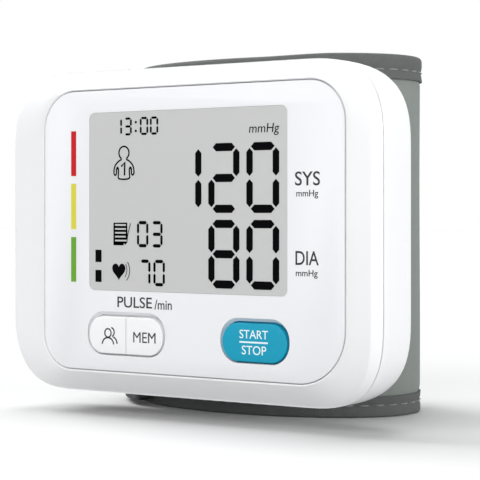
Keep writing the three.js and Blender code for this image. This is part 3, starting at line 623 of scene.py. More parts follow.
def front_shell():
    rings = [ring_at(grown(panel_shape, groove_width), groove_depth + rim_round)]
    rim_steps = rounding_steps // 2
    for step in range(rim_steps + 1):
        angle = step / rim_steps * math.pi / 2
        reach = groove_width + rim_round * (1 - math.cos(angle))
        rings.append(ring_at(grown(panel_shape, reach), rim_round * (1 - math.sin(angle))))
    rim = rings[-1]
    crease, corner = crease_and_corner()
    for share in slope_shares:
        rings.append([tuple(Vector(a).lerp(Vector(b), share)) for a, b in zip(rim, crease)])
    end = ring_at(case_shape, parting_depth - edge_round)
    for step in range(rounding_steps + 1):
        share = step / rounding_steps
        ring = []
        for a, b, c in zip(crease, corner, end):
            first = Vector(a).lerp(Vector(b), share)
            second = Vector(b).lerp(Vector(c), share)
            ring.append(tuple(first.lerp(second, share)))
        rings.append(ring)
    tongue_out = -(case_wall + seat_gap)
    tongue_in = tongue_out - tongue_wall
    tongue_back = parting_depth + tongue_length
    for shape, reach, depth in (
        (case_shape, -edge_round, parting_depth),
        (case_shape, tongue_out, parting_depth),
        (case_shape, tongue_out, tongue_back),
        (case_shape, tongue_in, tongue_back),
        (case_shape, tongue_in, parting_depth),
        (panel_shape, -ledge_width, ledge_back),
        (panel_shape, -ledge_width, ledge_front),
        (panel_shape, groove_width, ledge_front),
    ):
        rings.append(ring_at(grown(shape, reach), depth))
    shell = skinned(rings, looped=True)
    boss_front = ledge_back - seat_gap
    bosses = [drum(x, z, boss_radius, boss_front, boss_end) for x, z in case_screws]
    posts = [drum(x, z, boss_radius, ledge_front, post_end) for x, z in board_screws]
    shell = joined(shell, *bosses, *posts)
    pilots = [drum(x, z, pilot_radius, boss_front, boss_end + overrun)
              for x, z in case_screws + board_screws]
    return cut(shell, *pilots)


def rear_form(inset, front, soft=0.0):
    """The rear shell's form, which draws in towards the back."""
    sections = []
    if soft:
        for step in range(edge_steps):
            angle = step / edge_steps * math.pi / 2
            sections.append((grown(case_shape, -inset - soft * (1 - math.sin(angle))),
                             front + soft * (1 - math.cos(angle))))
        front += soft
    elif front < rear_front:
        sections.append((grown(case_shape, -inset), front))
        front = rear_front
    taper = rear_taper - inset
    span = case_depth - inset - front
    for step in range(rear_steps + 1):
        angle = step / rear_steps * math.pi / 2
        drawn_in = taper * (1 - bowed(math.cos(angle), rear_power))
        depth = front + span * bowed(math.sin(angle), rear_power)
        sections.append((grown(case_shape, -inset - drawn_in), depth))
    return loft(sections)


# The loop that the cuff follows. A place on it is a share of its length, counted from the point
# nearest to the case to the right.


def loop_point(turn):
    across = math.sin(turn)
    along = -math.cos(turn)
    power = 2 / loop_power
    return (math.copysign(abs(across) ** power, across) * loop_half_width,
            math.copysign(abs(along) ** power, along) * loop_half_depth)


def outward_at(x, y):
    across = math.copysign(abs(x / loop_half_width) ** (loop_power - 1), x) / loop_half_width
    along = math.copysign(abs(y / loop_half_depth) ** (loop_power - 1), y) / loop_half_depth
    size = math.hypot(across, along)
    return across / size, along / size


loop_path = [(0.0, loop_point(0))]
for sample in range(1, loop_samples + 1):
    here = loop_point(sample / loop_samples * 2 * math.pi)
    passed, before = loop_path[-1]
    loop_path.append((passed + math.dist(here, before), here))
loop_length = loop_path[-1][0]


def loop_at(share):
    """The point at a share of the loop's length, and the direction outward from it."""
    wanted = (share - math.floor(share)) * loop_length
    low, high = 0, loop_samples
    while high - low > 1:
        middle = (low + high) // 2
        if loop_path[middle][0] <= wanted:
            low = middle
        else:
            high = middle
    (start, first), (end, second) = loop_path[low], loop_path[high]
    part = (wanted - start) / (end - start)
    x = blended(first[0], second[0], part)
    y = blended(first[1], second[1], part)
    return (x, y), outward_at(x, y)


def on_loop(share, reach, height):
    (x, y), (out_x, out_y) = loop_at(share)
    return loop_x + x + out_x * reach, loop_depth + y + out_y * reach, height


def loop_room(reach, low, high):
    plan = [on_loop(step / room_steps, reach, 0) for step in range(room_steps)]
    return skinned([[(x, depth, z) for x, depth, _ in plan] for z in (low, high)])


# Rear shell and battery door


def rear_shell():
    outside = rear_form(0, rear_front, edge_round)
    shell = cut(outside, rear_form(case_wall, rear_front - overrun))
    limit = rear_form(case_wall / 2, rear_front)
    wall_back = inner_back + case_wall / 2
    wall_right = tray_right + tray_wall
    low, high = case_z - tray_end, case_z + tray_end
    walls = block(tray_right, wall_right, tray_front, wall_back, low, high)
    lip_left = case_left + case_wall + lip_inset + seat_gap
    ends = [
        block(lip_left, wall_right, tray_front, wall_back, high, high + tray_wall),
        block(lip_left, wall_right, tray_front, wall_back, low - tray_wall, low),
    ]
    pads = [drum(x, z, pad_radius, inner_back - pad_height, wall_back) for x, z in cuff_screws]
    walls = kept_in(joined(walls, *ends, *pads), limit)
    wells = [drum(x, z, well_radius + well_wall, well_front, case_depth + overrun)
             for x, z in case_screws]
    wells = kept_in(joined(*wells), rear_form(case_wall / 2, rear_front))
    saddle_shape = rounded(loop_x, case_z, 2 * saddle_half_width, 2 * saddle_half_height, saddle_corner)
    saddle = loft([(saddle_shape, wall_back), (saddle_shape, loop_depth)])
    saddle = cut(saddle, loop_room(seat_gap, -cuff_height, 2 * cuff_height))
    shell = joined(shell, walls, wells, saddle)
    openings = [
        block(case_left - overrun, door_right + door_gap, door_start - door_gap, case_depth + overrun,
              low - door_gap, high + door_gap),
        *[drum(x, z, well_radius, well_seat, case_depth + overrun) for x, z in case_screws],
        *[drum(x, z, pilot_radius, boss_end, case_depth) for x, z in case_screws],
        *[drum(x, z, pilot_radius, cuff_pilot_start, loop_depth) for x, z in cuff_screws],
        drum(air_hole_x, case_z + air_hole_rise, air_hole_radius, inner_back - overrun, loop_depth),
    ]
    return cut(shell, *openings)


def battery_door():
    shell = cut(rear_form(0, rear_front), rear_form(case_wall, rear_front - overrun))
    reach = block(case_left - overrun, door_right, door_start, case_depth + overrun,
                  case_z - tray_end, case_z + tray_end)
    shell = kept_in(shell, reach)
    grips = []
    for place in range(-3, 4):
        grip_z = case_z + place * grip_pitch
        grips.append(block(case_left - overrun, case_left + grip_depth, grip_front, grip_back,
                           grip_z - grip_width / 2, grip_z + grip_width / 2))
    return cut(shell, *grips)


settled(front_shell(), "case_front", white_gloss, "case_white", "case", "front_shell")
settled(rear_shell(), "case_back", white_gloss, "case_white", "case", "rear_shell")
settled(battery_door(), "door_cover", white_gloss, "case_white", "door", "battery_door")


# Faceplate, window and keys


def key_shape(first, last, trims):
    left = first.x + flange_reach + trims["left"]
    right = last.x - flange_reach - trims["right"]
    low = first.z + flange_reach + trims["low"]
    top = last.z - flange_reach - trims["top"]
    return rounded((left + right) / 2, (low + top) / 2, right - left, top - low, button_corner)


start_shape = key_shape(*box_of("start_button"), start_trims)
user_low, user_high = box_of("user_button")
memory_low, memory_high = box_of("memory_button")
split_x = (user_high.x + memory_low.x) / 2
pair_shape = key_shape(user_low, memory_high, pair_trims)
window_low, window_high = box_of("display_window")
window_left = window_low.x + window_left_trim
window_top = window_high.z - window_top_trim
window_shape = rounded((window_left + window_high.x) / 2, (window_low.z + window_top) / 2,
                       window_high.x - window_left, window_top - window_low.z, window_corner)


def dish(shape):
    """The hollow round a key, which reaches further above it than below."""
    sections = []
    for share, depth in [(1, -overrun), *dish_profile, (0, panel_thickness + overrun)]:
        out_x = blended(button_gap, dish_reach_x, share)
        out_z = blended(button_gap, dish_reach_z, share)
        sections.append((rounded(shape["x"], shape["z"] + dish_rise * share, shape["width"] + 2 * out_x,
                                 shape["height"] + 2 * out_z, shape["radius"] + out_x), depth))
    return loft(sections)


def faceplate():
    plate = loft([
        (grown(panel_shape, -edge_round), 0),
        (grown(panel_shape, -edge_round / 3), edge_round / 3),
        (panel_shape, edge_round),
        (panel_shape, panel_thickness),
    ])
    opening_shape = grown(window_shape, window_seam)
    opening = loft([(opening_shape, -overrun), (opening_shape, panel_thickness + overrun)])
    return cut(plate, opening, dish(start_shape), dish(pair_shape))


def display_window():
    return loft([(grown(window_shape, -window_seam), window_seam / 2), (window_shape, window_seam * 1.5),
                 (window_shape, panel_thickness)])


settled(faceplate(), "face_panel", panel_look, "panel_white", "case", "faceplate")
settled(display_window(), "window_panel", window_look, "window_grey", "case", "display_window")

key_front = -button_proud - button_crown


def key_body(shape):
    flange_front = panel_thickness + seat_gap
    sections = [(shape, flange_front + flange_thickness / 2), (shape, button_edge - button_proud)]
    for step in range(1, edge_steps + 1):
        angle = step / edge_steps * math.pi / 2
        sections.append((grown(shape, -button_edge * (1 - math.cos(angle))),
                         button_edge * (1 - math.sin(angle)) - button_proud))
    sections.append((grown(shape, -crown_inset), key_front))
    flange_shape = grown(shape, flange_reach)
    flange = loft([(flange_shape, flange_front), (flange_shape, flange_front + flange_thickness)])
    return joined(loft(sections), flange)


def stem(x):
    return drum(x, start_shape["z"], stem_radius, panel_thickness + seat_gap * 2, stem_end)


def half_key(side):
    """The half of the pair's pill on one side of the split, with a notch along the split."""
    far = split_x - side * pair_shape["width"]
    near = split_x + side * half_gap
    low, high = pair_shape["z"] - half_room_reach, pair_shape["z"] + half_room_reach
    other = block(min(near, far), max(near, far), half_room_front, half_room_back, low, high)
    notch_points = [(split_x - notch_reach, key_front - notch_depth),
                    (split_x + notch_reach, key_front - notch_depth), (split_x, key_front + notch_depth)]
    notch = skinned([[(x, depth, z) for x, depth in notch_points] for z in (low, high)])
    return joined(cut(key_body(pair_shape), other, notch), stem(split_x + side * half_stem_shift))


start_key = joined(key_body(start_shape), stem(start_shape["x"]))
settled(start_key, "start_cap", turquoise, "button_turquoise", "start_key", "start_button")
settled(half_key(-1), "user_cap", key_white, "case_white", "user_key", "user_button")
settled(half_key(1), "memory_cap", key_white, "case_white", "memory_key", "memory_button")


# Printed figures. Places are counted from the panel's middle: x to the right, z up. A box is its
# left, right, top and low edge.


class Ink:
    """Flat figures at one depth, gathered into one piece."""

    def __init__(self, front):
        self.points = []
        self.faces = []
        self.levels = (front - ink_height, front + ink_height)

    def prism(self, polygon):
        first = len(self.points)
        count = len(polygon)
        for depth in self.levels:
            self.points += [(panel_x + x, depth, panel_z + z) for x, z in polygon]
        self.faces.append(tuple(range(first, first + count)))
        self.faces.append(tuple(reversed(range(first + count, first + 2 * count))))
        for place in range(count):
            following = (place + 1) % count
            self.faces.append((first + place, first + count + place,
                               first + count + following, first + following))

    def bar(self, left, right, top, low):
        self.prism([(left, low), (right, low), (right, top), (left, top)])

    def ribbon(self, path, width, closed=False):
        count = len(path)
        left, right = [], []
        for place, (x, z) in enumerate(path):
            before = path[place - 1] if place or closed else path[place]
            after = path[(place + 1) % count] if place < count - 1 or closed else path[place]
            along_x, along_z = after[0] - before[0], after[1] - before[1]
            size = math.hypot(along_x, along_z) or 1
            off_x, off_z = -along_z / size * width / 2, along_x / size * width / 2
            left.append((x + off_x, z + off_z))
            right.append((x - off_x, z - off_z))
        if not closed:
            self.prism(left + right[::-1])
            return
        first = len(self.points)
        for side in (left, right):
            for depth in self.levels:
                self.points += [(panel_x + x, depth, panel_z + z) for x, z in side]
        left_top, left_low, right_top, right_low = (first + row * count for row in range(4))
        for place in range(count):
            following = (place + 1) % count
            for one, other in ((left_top, right_top), (right_top, right_low),
                               (right_low, left_low), (left_low, left_top)):
                self.faces.append((one + place, one + following, other + following, other + place))

    def finish(self, name, look, slot, body):
        return settled(solid(self.points, self.faces), name, look, slot, body)


def arc(x, z, radius_x, radius_z, first, last, steps):
    angles = [math.radians(first + (last - first) * step / steps) for step in range(steps + 1)]
    return [(x + radius_x * math.cos(angle), z + radius_z * math.sin(angle)) for angle in angles]


def oval(x, z, radius_x, radius_z, sides=20):
    """A closed round, whose last point is one step short of the first."""
    return arc(x, z, radius_x, radius_z, 0, 360 - 360 / sides, sides - 1)


SEGMENTS = {"0": "abcdef", "1": "bc", "2": "abged", "3": "abgcd", "7": "abc", "8": "abcdefg"}


def digit(ink, glyph, box, strokes):
    """A seven segment figure of pointed bars that fills its box; strokes are the width of the
    upright bars, the height of the level ones, and the gap between their tips."""
    left, right, top, low = box
    upright, level, gap = strokes
    x_left, x_right = left + upright / 2, right - upright / 2
    z_top, z_low = top - level / 2, low + level / 2
    z_middle = (z_top + z_low) / 2
    rows = {"a": z_top, "g": z_middle, "d": z_low}
    columns = {"f": (x_left, z_middle, z_top), "b": (x_right, z_middle, z_top),
               "e": (x_left, z_low, z_middle), "c": (x_right, z_low, z_middle)}
    for segment in SEGMENTS[glyph]:
        if segment in rows:
            z = rows[segment]
            half = level / 2
            first, last = x_left + gap, x_right - gap
            ink.prism([(first, z), (first + half, z - half), (last - half, z - half),
                       (last, z), (last - half, z + half), (first + half, z + half)])
        else:
            x, z_first, z_last = columns[segment]
            half = upright / 2
            first, last = z_first + gap, z_last - gap
            ink.prism([(x, first), (x + half, first + half), (x + half, last - half),
                       (x, last), (x - half, last - half), (x - half, first + half)])


def words(name, text, box, front, look, slot, body, weight=0.0, slant=0.0):
    """Generic lettering that fills its box."""
    curve = bpy.data.curves.new(name, "FONT")
    curve.body = text
    curve.resolution_u = letter_steps
    curve.extrude = 1
    curve.offset = weight
    curve.shear = slant
    carrier = bpy.data.objects.new(name, curve)
    bpy.context.collection.objects.link(carrier)
    bpy.context.view_layer.update()
    mesh = bpy.data.meshes.new_from_object(carrier.evaluated_get(bpy.context.evaluated_depsgraph_get()))
    bpy.data.objects.remove(carrier)
    left, right, top, low = box
    xs = [vertex.co.x for vertex in mesh.vertices]
    ys = [vertex.co.y for vertex in mesh.vertices]
    x_scale = (right - left) / (max(xs) - min(xs))
    z_scale = (top - low) / (max(ys) - min(ys))
    for vertex in mesh.vertices:
        x = panel_x + left + (vertex.co.x - min(xs)) * x_scale
        z = panel_z + low + (vertex.co.y - min(ys)) * z_scale
        depth = front - ink_height if vertex.co.z > 0 else front + ink_height
        vertex.co = (x * MILLIMETRE, (depth + front_y) * MILLIMETRE, z * MILLIMETRE)
    work = bmesh.new()
    work.from_mesh(mesh)
    bmesh.ops.remove_doubles(work, verts=work.verts, dist=letter_merge * MILLIMETRE)
    bmesh.ops.recalc_face_normals(work, faces=work.faces)
    work.to_mesh(mesh)
    work.free()
    piece = bpy.data.objects.new(name, mesh)
    bpy.context.collection.objects.link(piece)
    return settled(piece, name, look, slot, body)


# The display's figures and signs
glass_front = window_seam / 2
big_strokes = (1.36, 1.46, 0.28)
small_strokes = (0.5, 0.62, 0.1)
clock_strokes = (0.42, 0.42, 0.08)
upper_row = (15.71, 3.27)
lower_row = (2.05, -10.18)
date_row = (1.78, -3.07)
pulse_row = (-5.3, -10.15)
clock_row = (20.93, 17.6)
big = Ink(glass_front)
for glyph, left, right, row in (
    ("2", 5.05, 11.84, upper_row), ("0", 13.34, 20.28, upper_row),
    ("8", 5.05, 11.84, lower_row), ("0", 13.34, 20.28, lower_row), ("1", -3.06, 3.5, upper_row),
):
    digit(big, glyph, (left, right, *row), big_strokes)
big.finish("reading_digits", black_ink, "window_grey", "case")

small = Ink(glass_front)
for glyph, left, right, row, strokes in (
    ("0", -11.22, -8.57, date_row, small_strokes), ("3", -7.93, -5.28, date_row, small_strokes),
    ("7", -10.62, -8.08, pulse_row, small_strokes), ("0", -7.39, -4.74, pulse_row, small_strokes),
    ("1", -16.9, -14.77, clock_row, clock_strokes), ("3", -14.3, -12.45, clock_row, clock_strokes),
    ("0", -10.55, -8.6, clock_row, clock_strokes), ("0", -8.2, -6.28, clock_row, clock_strokes),
):
    digit(small, glyph, (left, right, *row), strokes)


def heart(ink, x, z, width, steps=40):
    """The usual heart curve, which is 32 of its own units wide and 29 high."""
    points = []
    for step in range(steps):
        turn = step / steps * 2 * math.pi
        across = 16 * math.sin(turn) ** 3
        up = 13 * math.cos(turn) - 5 * math.cos(2 * turn) - 2 * math.cos(3 * turn) - math.cos(4 * turn)
        points.append((x + across / 32 * width, z + up / 29 * width))
    ink.prism(points)


def page(ink, left, right, top, low, stroke):
    """A sheet of written lines: its frame, which is open low at the right, five lines and a foot."""
    inset = 0.18
    low_inset = 0.2
    opening_width = 0.9
    opening_height = 1.1
    first_line = 0.85
    line_pitch = 0.72
    line_count = 5
    foot_gap = 0.95
    foot_height = 0.5
    ink.ribbon([(right - opening_width, low + low_inset), (left + inset, low + low_inset),
                (left + inset, top - inset), (right - inset, top - inset),
                (right - inset, low + opening_height)], stroke)
    for row in range(line_count):
        z = top - first_line - row * line_pitch
        ink.ribbon([(left + low_inset, z), (right - low_inset, z)], stroke)
    ink.bar(left, right - foot_gap, low + foot_height, low)


colon_places = [(-11.5, 20), (-11.5, 18.4)]
colon_radius = 0.25
level_bars = [(-21.15, -19.69, -3.65, -5.95), (-21.15, -19.69, -7.44, -9.68)]
heart_x, heart_z = -15.53, -7.45
heart_width = 3.15
beat_waves = [((-15.6, -7.3, 2, 2, -42, 34, 12), 0.13), ((-15.6, -7.4, 2.65, 2.65, -44, 36, 12), 0.15)]
page_box = (-16.8, -13.5, 1.5, -2.75)
page_stroke = 0.42
pen = [(-12.75, 1.35), (-13.35, -0.6), (-13.6, -2.2), (-14.1, -2.6)]
pen_stroke = 0.16
person_x = -14.31
person_stroke = 0.3
person_head = (person_x, 14.39, 1.19, 1.2, -62, 242, 32)
person_side = [(0.53, 13.2), (1.23, 12.87), (1.93, 12.27), (2.27, 11.62), (2.37, 10.96), (2.34, 10.53),
               (2.06, 10.26), (1.79, 10.58), (1.76, 11.35), (1.53, 11.73), (1.3, 11.35), (1.3, 10.64),
               (1.37, 9.88), (1.16, 9.63), (0.67, 9.53), (0, 9.5)]
person_number = [(-14.95, 11.87), (-14.11, 12.68), (-14.18, 10.2)]
number_stroke = 0.36

for x, z in colon_places:
    small.prism(oval(x, z, colon_radius, colon_radius))
for box in level_bars:
    small.bar(*box)
heart(small, heart_x, heart_z, heart_width)
for wave, stroke in beat_waves:
    small.ribbon(arc(*wave), stroke)
page(small, *page_box, page_stroke)
small.ribbon(pen, pen_stroke)
small.ribbon(arc(*person_head), person_stroke)
left_side = [(person_x - out, z) for out, z in person_side]
right_side = [(person_x + out, z) for out, z in reversed(person_side[:-1])]
small.ribbon(smoothed(left_side + right_side, edge_steps), person_stroke)
small.ribbon(person_number, number_stroke)
small.finish("status_figures", black_ink, "window_grey", "case")

reading_unit_box = (13.9, 20.31, 18.97, 16.84)
words("reading_unit", "mmHg", reading_unit_box, glass_front, black_ink, "window_grey", "case",
      slant=reading_slant)

# The labels on the panel and the keys
for name, text, box in (
    ("label_sys", "SYS", (23.58, 28.67, 10.43, 7.99)),
    ("unit_sys", "mmHg", (23.85, 28.3, 7.25, 5.75)),
    ("label_dia", "DIA", (23.67, 28.42, -3.27, -5.69)),
    ("unit_dia", "mmHg", (23.75, 28.18, -6.5, -7.98)),
    ("label_pulse", "PULSE", (-15.84, -7.73, -12.26, -14.28)),
    ("unit_pulse", "/min", (-7.13, -3.16, -12.6, -14.4)),
):
    words(name, text, box, 0, grey_ink, "panel_white", "case", label_weight)

for name, look, box in (
    ("bar_red", red_ink, (-27.13, -25.89, 18.72, 10.23)),
    ("bar_yellow", yellow_ink, (-27.13, -25.89, 8.76, 0.17)),
    ("bar_green", green_ink, (-27.13, -25.89, -1.32, -9.77)),
):
    mark = Ink(0)
    mark.bar(*box)
    mark.finish(name, look, "panel_white", "case")

for name, text, box in (
    ("label_start", "START", (12, 18.06, -17.3, -18.83)),
    ("label_stop", "STOP", (12.5, 17.7, -20.07, -21.65)),
):
    words(name, text, box, key_front, pale_ink, "button_turquoise", "start_key", key_weight)
memory_box = (-11.95, -6.75, -18.7, -20.62)
words("label_memory", "MEM", memory_box, key_front, grey_ink, "case_white", "memory_key")
rule_box = (12, 18.03, -19.32, -19.62)
rule = Ink(key_front)
rule.bar(*rule_box)
rule.finish("label_rule", pale_ink, "button_turquoise", "start_key")
near_head = (-17.98, -19.13, 0.75, 0.8)
near_shoulders = (-17.98, -21.22, 1.35, 1.22, 180, 0, 20)
far_head = (-17.25, -18.95, 0.77, 0.85, 85, -70, 14)
far_shoulder = (-17.05, -21.1, 1.25, 1.3, 74, 2, 12)
people_stroke = 0.27
people = Ink(key_front)
people.ribbon(oval(*near_head), people_stroke, closed=True)
for curve in (near_shoulders, far_head, far_shoulder):
    people.ribbon(arc(*curve), people_stroke)
people.finish("label_user", grey_ink, "case_white", "user_key")


# Cuff


def eased(value, start, end):
    part = min(1, max(0, (value - start) / (end - start)))
    return part * part * (3 - 2 * part)


def narrowed(share, at_top):
    """How far the flap's edge lies in from the cuff's, with its end corner rounded off."""
    into_corner = max(0, 1 - (flap_end - share) * loop_length / flap_corner_length)
    corner_drop = top_corner_drop if at_top else low_corner_drop
    return flap_narrowing * eased(share, split_share, ramp_start) + corner_drop * into_corner ** 2


def on_cuff(share, reach, height):
    return on_loop(share, reach + ramp_height * eased(share, ramp_start, ramp_end), height)


def length_along(start, end, reach):
    plan = [on_cuff(start + (end - start) * step / length_steps, reach, 0)
            for step in range(length_steps + 1)]
    return sum(math.dist(here, after) for here, after in zip(plan, plan[1:]))


def map_cloth(piece, cloth):
    """Gives a mesh its own map, with the distance along and up the cloth in metres."""
    layer = piece.data.uv_layers.new(name="cloth")
    for loop in piece.data.loops:
        along, up = cloth[loop.vertex_index]
        layer.data[loop.index].uv = (along * MILLIMETRE, up * MILLIMETRE)


def strip(start, end, edge_room, outer, thickness, columns, rows, relief=None):
    """A layer of the cuff as a thin closed sheet along the loop, edge_room in from the cuff's edges."""
    points, cloth, faces = [], [], []
    for side in (0, 1):
        for column in range(columns + 1):
            share = start + (end - start) * column / columns
            low_room = edge_room + narrowed(share, False)
            top_room = edge_room + narrowed(share, True)
            for row in range(rows + 1):
                height = low_room + (cuff_height - low_room - top_room) * row / rows
                reach = outer - side * thickness
                reach += relief(share, height) if relief else 0
                points.append(on_cuff(share, reach, height))
                cloth.append((share * loop_length, height))
    width = rows + 1
    inner = (columns + 1) * width
    for column in range(columns):
        for row in range(rows):
            a = column * width + row
            faces.append((a, a + width, a + width + 1, a + 1))
            faces.append((inner + a, inner + a + 1, inner + a + width + 1, inner + a + width))
    for row in range(rows):
        last = columns * width + row
        faces.append((row, row + 1, inner + row + 1, inner + row))
        faces.append((last, inner + last, inner + last + 1, last + 1))
    for column in range(columns):
        a, b = column * width, (column + 1) * width
        faces.append((a, inner + a, inner + b, b))
        faces.append((a + rows, b + rows, inner + b + rows, inner + a + rows))
    piece = solid(points, faces)
    map_cloth(piece, cloth)
    return piece


def cover_relief(share, height):
    """The cover bears on the saddle, stands proud elsewhere and is drawn in a little at each stitch.
    A ripple and a swell of unlike length leave it as uneven as sewn cloth is."""
    along = share * loop_length / stitch_pitch
    near = min(height - narrowed(share, False), cuff_height - height - narrowed(share, True)) - edge_inset
    fade = max(0.0, 1 - near / pucker_reach)
    wave = 0.5 + 0.5 * math.cos(2 * math.pi * along)
    slow = math.sin(along * ripple_turn_a_stitch + height * ripple_turn_a_height)
    slow *= math.sin(along * swell_turn_a_stitch + swell_start)
    proud = cover_proud * eased(abs(share), saddle_share, clear_share) * eased(near, *cover_edge)
    return proud - pucker_depth * wave * fade * fade + ripple_depth * slow


def folded(inner, size):
    """The section of a binding folded over an edge: reach, distance from the edge, and its face."""
    outer, corner, height = size["proud"], size["corner"], size["height"]
    flat = [blended(height, corner, share) for share in face_shares]
    section = [(outer, from_edge, 1) for from_edge in flat]
    turn = range(1, fold_steps + 1)
    for reach, side, steps in ((outer, -1, turn), (inner, 1, reversed(turn))):
        for step in steps:
            angle = step / fold_steps * math.pi / 2
            section.append((reach + side * corner * (1 - math.cos(angle)),
                            corner * (1 - math.sin(angle)), 0))
    section += [(inner, from_edge, -1) for from_edge in reversed(flat)]
    inside, outside = inner + binding_thickness, outer - binding_thickness
    section += [(inside, height, 0), (inside, binding_thickness, 0),
                (outside, binding_thickness, 0), (outside, height, 0)]
    return section


def binding(start, end, inner, size, place):
    """A binding from start to end along its edge, in mm, drawn in at each stitch on both faces."""
    columns = max(2, round((end - start) / stitch_pitch * columns_a_stitch))
    section = folded(inner, size)
    rings, cloth = [], []
    for column in range(columns + 1):
        along = start + (end - start) * column / columns
        wave = 0.5 + 0.5 * math.cos(2 * math.pi * along / stitch_pitch)
        ring = []
        for reach, from_edge, face in section:
            seam = math.exp(-((from_edge - size["seam"]) / seam_width) ** 2)
            puff = math.exp(-((from_edge - size["seam"] / 2) / puff_width) ** 2)
            foot = max(0, 1 - abs(from_edge - size["height"]) / foot_width)
            dip = seam * (seam_depth + seam_pull * wave)
            lift = puff_height * puff * (1 - wave) - dip + foot_height * foot
            ring.append(place(along, reach + face * lift, from_edge))
            cloth.append((along, from_edge + reach))
        rings.append(ring)
    piece = skinned(rings)
    map_cloth(piece, cloth)
    return piece


def stitches(start, end, inner, size, place):
    """Lock stitches of real thread, on the outer and the inner face of a binding."""
    points, faces = [], []
    for number in range(math.ceil(start / stitch_pitch + 0.5), math.floor(end / stitch_pitch - 1)):
        for level, face in ((size["proud"] - thread_sunk, 1), (inner + thread_sunk, -1)):
            rings = []
            for step in range(thread_steps + 1):
                part = step / thread_steps
                along = (number + stitch_phase) * stitch_pitch + stitch_length * (part - 0.5)
                bow = math.sin(part * math.pi)
                radius = thread_radius * (thread_end_share + (1 - thread_end_share) * bow ** 0.5)
                reach = level + face * (thread_sunk * bow ** 0.6 - thread_radius / 2)
                rings.append([place(along, reach + out, size["seam"] + up)
                              for out, up in circle(radius, thread_sides)])
            gather(points, faces, *skin(rings))
    return solid(points, faces)


def along_edge(size):
    """Places a binding's points along the cuff's top or bottom edge."""
    def place(along, reach, from_edge):
        share = along / loop_length
        edge = size["edge"] + size["rise"] * eased(share, *rise_shares)
        edge -= size["direction"] * narrowed(share, size["direction"] > 0)
        return on_cuff(share, reach, edge - size["direction"] * from_edge)
    return place


def round_end(end, direction):
    """Places a binding's points up one end of the cuff."""
    def place(along, reach, from_edge):
        return on_cuff(end - direction * from_edge / loop_length, reach, along)
    return place


def bound(name, body, node, start, end, inner, size, place):
    """A binding and its stitches, as two pieces."""
    tape = binding(start, end, inner, size, place)
    replaced = [node] if node else []
    settled(tape, name, binding_tape, "binding_tape", body, *replaced, angle=tape_sharp_angle)
    thread = stitches(start, end, inner, size, place)
    settled(thread, name + "_thread", thread_look, "binding_tape", body, angle=thread_sharp_angle)
    return [tape, thread]


def edge_tapes(part, body, start, end, inner):
    """The bindings along the top and the bottom edge of the cuff or the flap."""
    pieces = []
    for edge, size in (("top", top_tape), ("bottom", low_tape)):
        pieces += bound(f"{part}_tape_{edge}", body, f"{part}_binding_{edge}", start * loop_length,
                        end * loop_length, inner, size, along_edge(size))
    return pieces


def pillow(share, height):
    """How far the bladder's faces fall in towards its welded edges."""
    start, end = bladder_shares
    across = min(1, (share - start) / pillow_edge_share, (end - share) / pillow_edge_share)
    upright = min(1, (height - bladder_inset) / pillow_edge_height,
                  (cuff_height - bladder_inset - height) / pillow_edge_height)
    return -pillow_drop * (1 - max(0, min(across, upright)))


edge_inset = binding_thickness + seat_gap
cuff_tape_inner = lining_inner - cuff_tape_lap
flap_tape_inner = flap_lining_inner - flap_tape_lap

cover = strip(short_end, split_share, edge_inset, 0, cover_thickness, 200, 48, cover_relief)
settled(cover, "cuff_cloth", cover_cloth, "cover_cloth", "case", "cuff_cover")
lining = strip(short_end, split_share, edge_inset, lining_inner + cover_thickness,
               cover_thickness, 120, 24)
settled(lining, "cuff_lining_cloth", lining_cloth, "lining_cloth", "case", "cuff_lining")
cuff_tapes = edge_tapes("cuff", "case", short_end, split_share, cuff_tape_inner)
cuff_tapes += bound("cuff_tape_end", "case", None, end_proud, cuff_height - end_proud,
                    cuff_tape_inner - end_proud, end_tape, round_end(short_end, -1))

flap_cloth = strip(split_share, flap_end, edge_inset, 0, cover_thickness, 100, 48, cover_relief)
settled(flap_cloth, "flap_cloth", cover_cloth, "cover_cloth", None, "flap_cover")
flap_lining = strip(split_share, flap_end, edge_inset, flap_lining_inner + cover_thickness,
                    cover_thickness, 100, 24)
settled(flap_lining, "flap_lining_cloth", lining_cloth, "lining_cloth", None, "flap_lining")
flap_tapes = edge_tapes("flap", None, split_share, flap_end, flap_tape_inner)
bend_start, bend_end = (
    [value * MILLIMETRE for value in (x, depth + front_y, z)]
    for x, depth, z in (on_loop(share, bend_reach, cuff_height / 2) for share in bend_shares))
for piece in (flap_cloth, flap_lining, *flap_tapes):
    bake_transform(piece)
    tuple(bend_start)
    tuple(bend_end)
end_tapes = bound("flap_tape_end", "flap", None, narrowed(flap_end, False) + end_proud,
                  cuff_height - narrowed(flap_end, True) - end_proud, flap_tape_inner - end_proud,
                  end_tape, round_end(flap_end, 1))

band = strip(*band_shares, band_inset, band_outer, band_thickness, 120, 4)
settled(band, "stiff_band", band_look, "band_plastic", "case", "cuff_band")
bladder = strip(*bladder_shares, bladder_inset, bladder_outer, bladder_thickness, 100, 28, pillow)
settled(bladder, "air_bladder", rubber, "bladder_rubber", "case", "bladder")
hooks = strip(hooks_start, flap_end - hooks_end_share, hooks_inset, hooks_outer, hooks_thickness, 40, 30)
settled(hooks, "hook_patch", hook_tape, "hook_tape", "flap", "hook_strip")


def declared(start, end, reach):
    """Works out how large a piece of cloth was cut; the size is not used."""
    flat = (length_along(start, end, reach) * MILLIMETRE, (cuff_height - 2 * edge_inset) * MILLIMETRE)


declared(short_end, split_share, cover_proud)
declared(short_end, split_share, lining_inner)
declared(split_share, flap_end, cover_proud)
declared(split_share, flap_end, flap_lining_inner)


# What stays of the CAD pieces, and the hoses between them


def place_of(node):
    """A node's middle and its two corners, as x, depth and z."""
    low, high = box_of(node)
    low.y -= front_y
    high.y -= front_y
    return (low + high) / 2, low, high


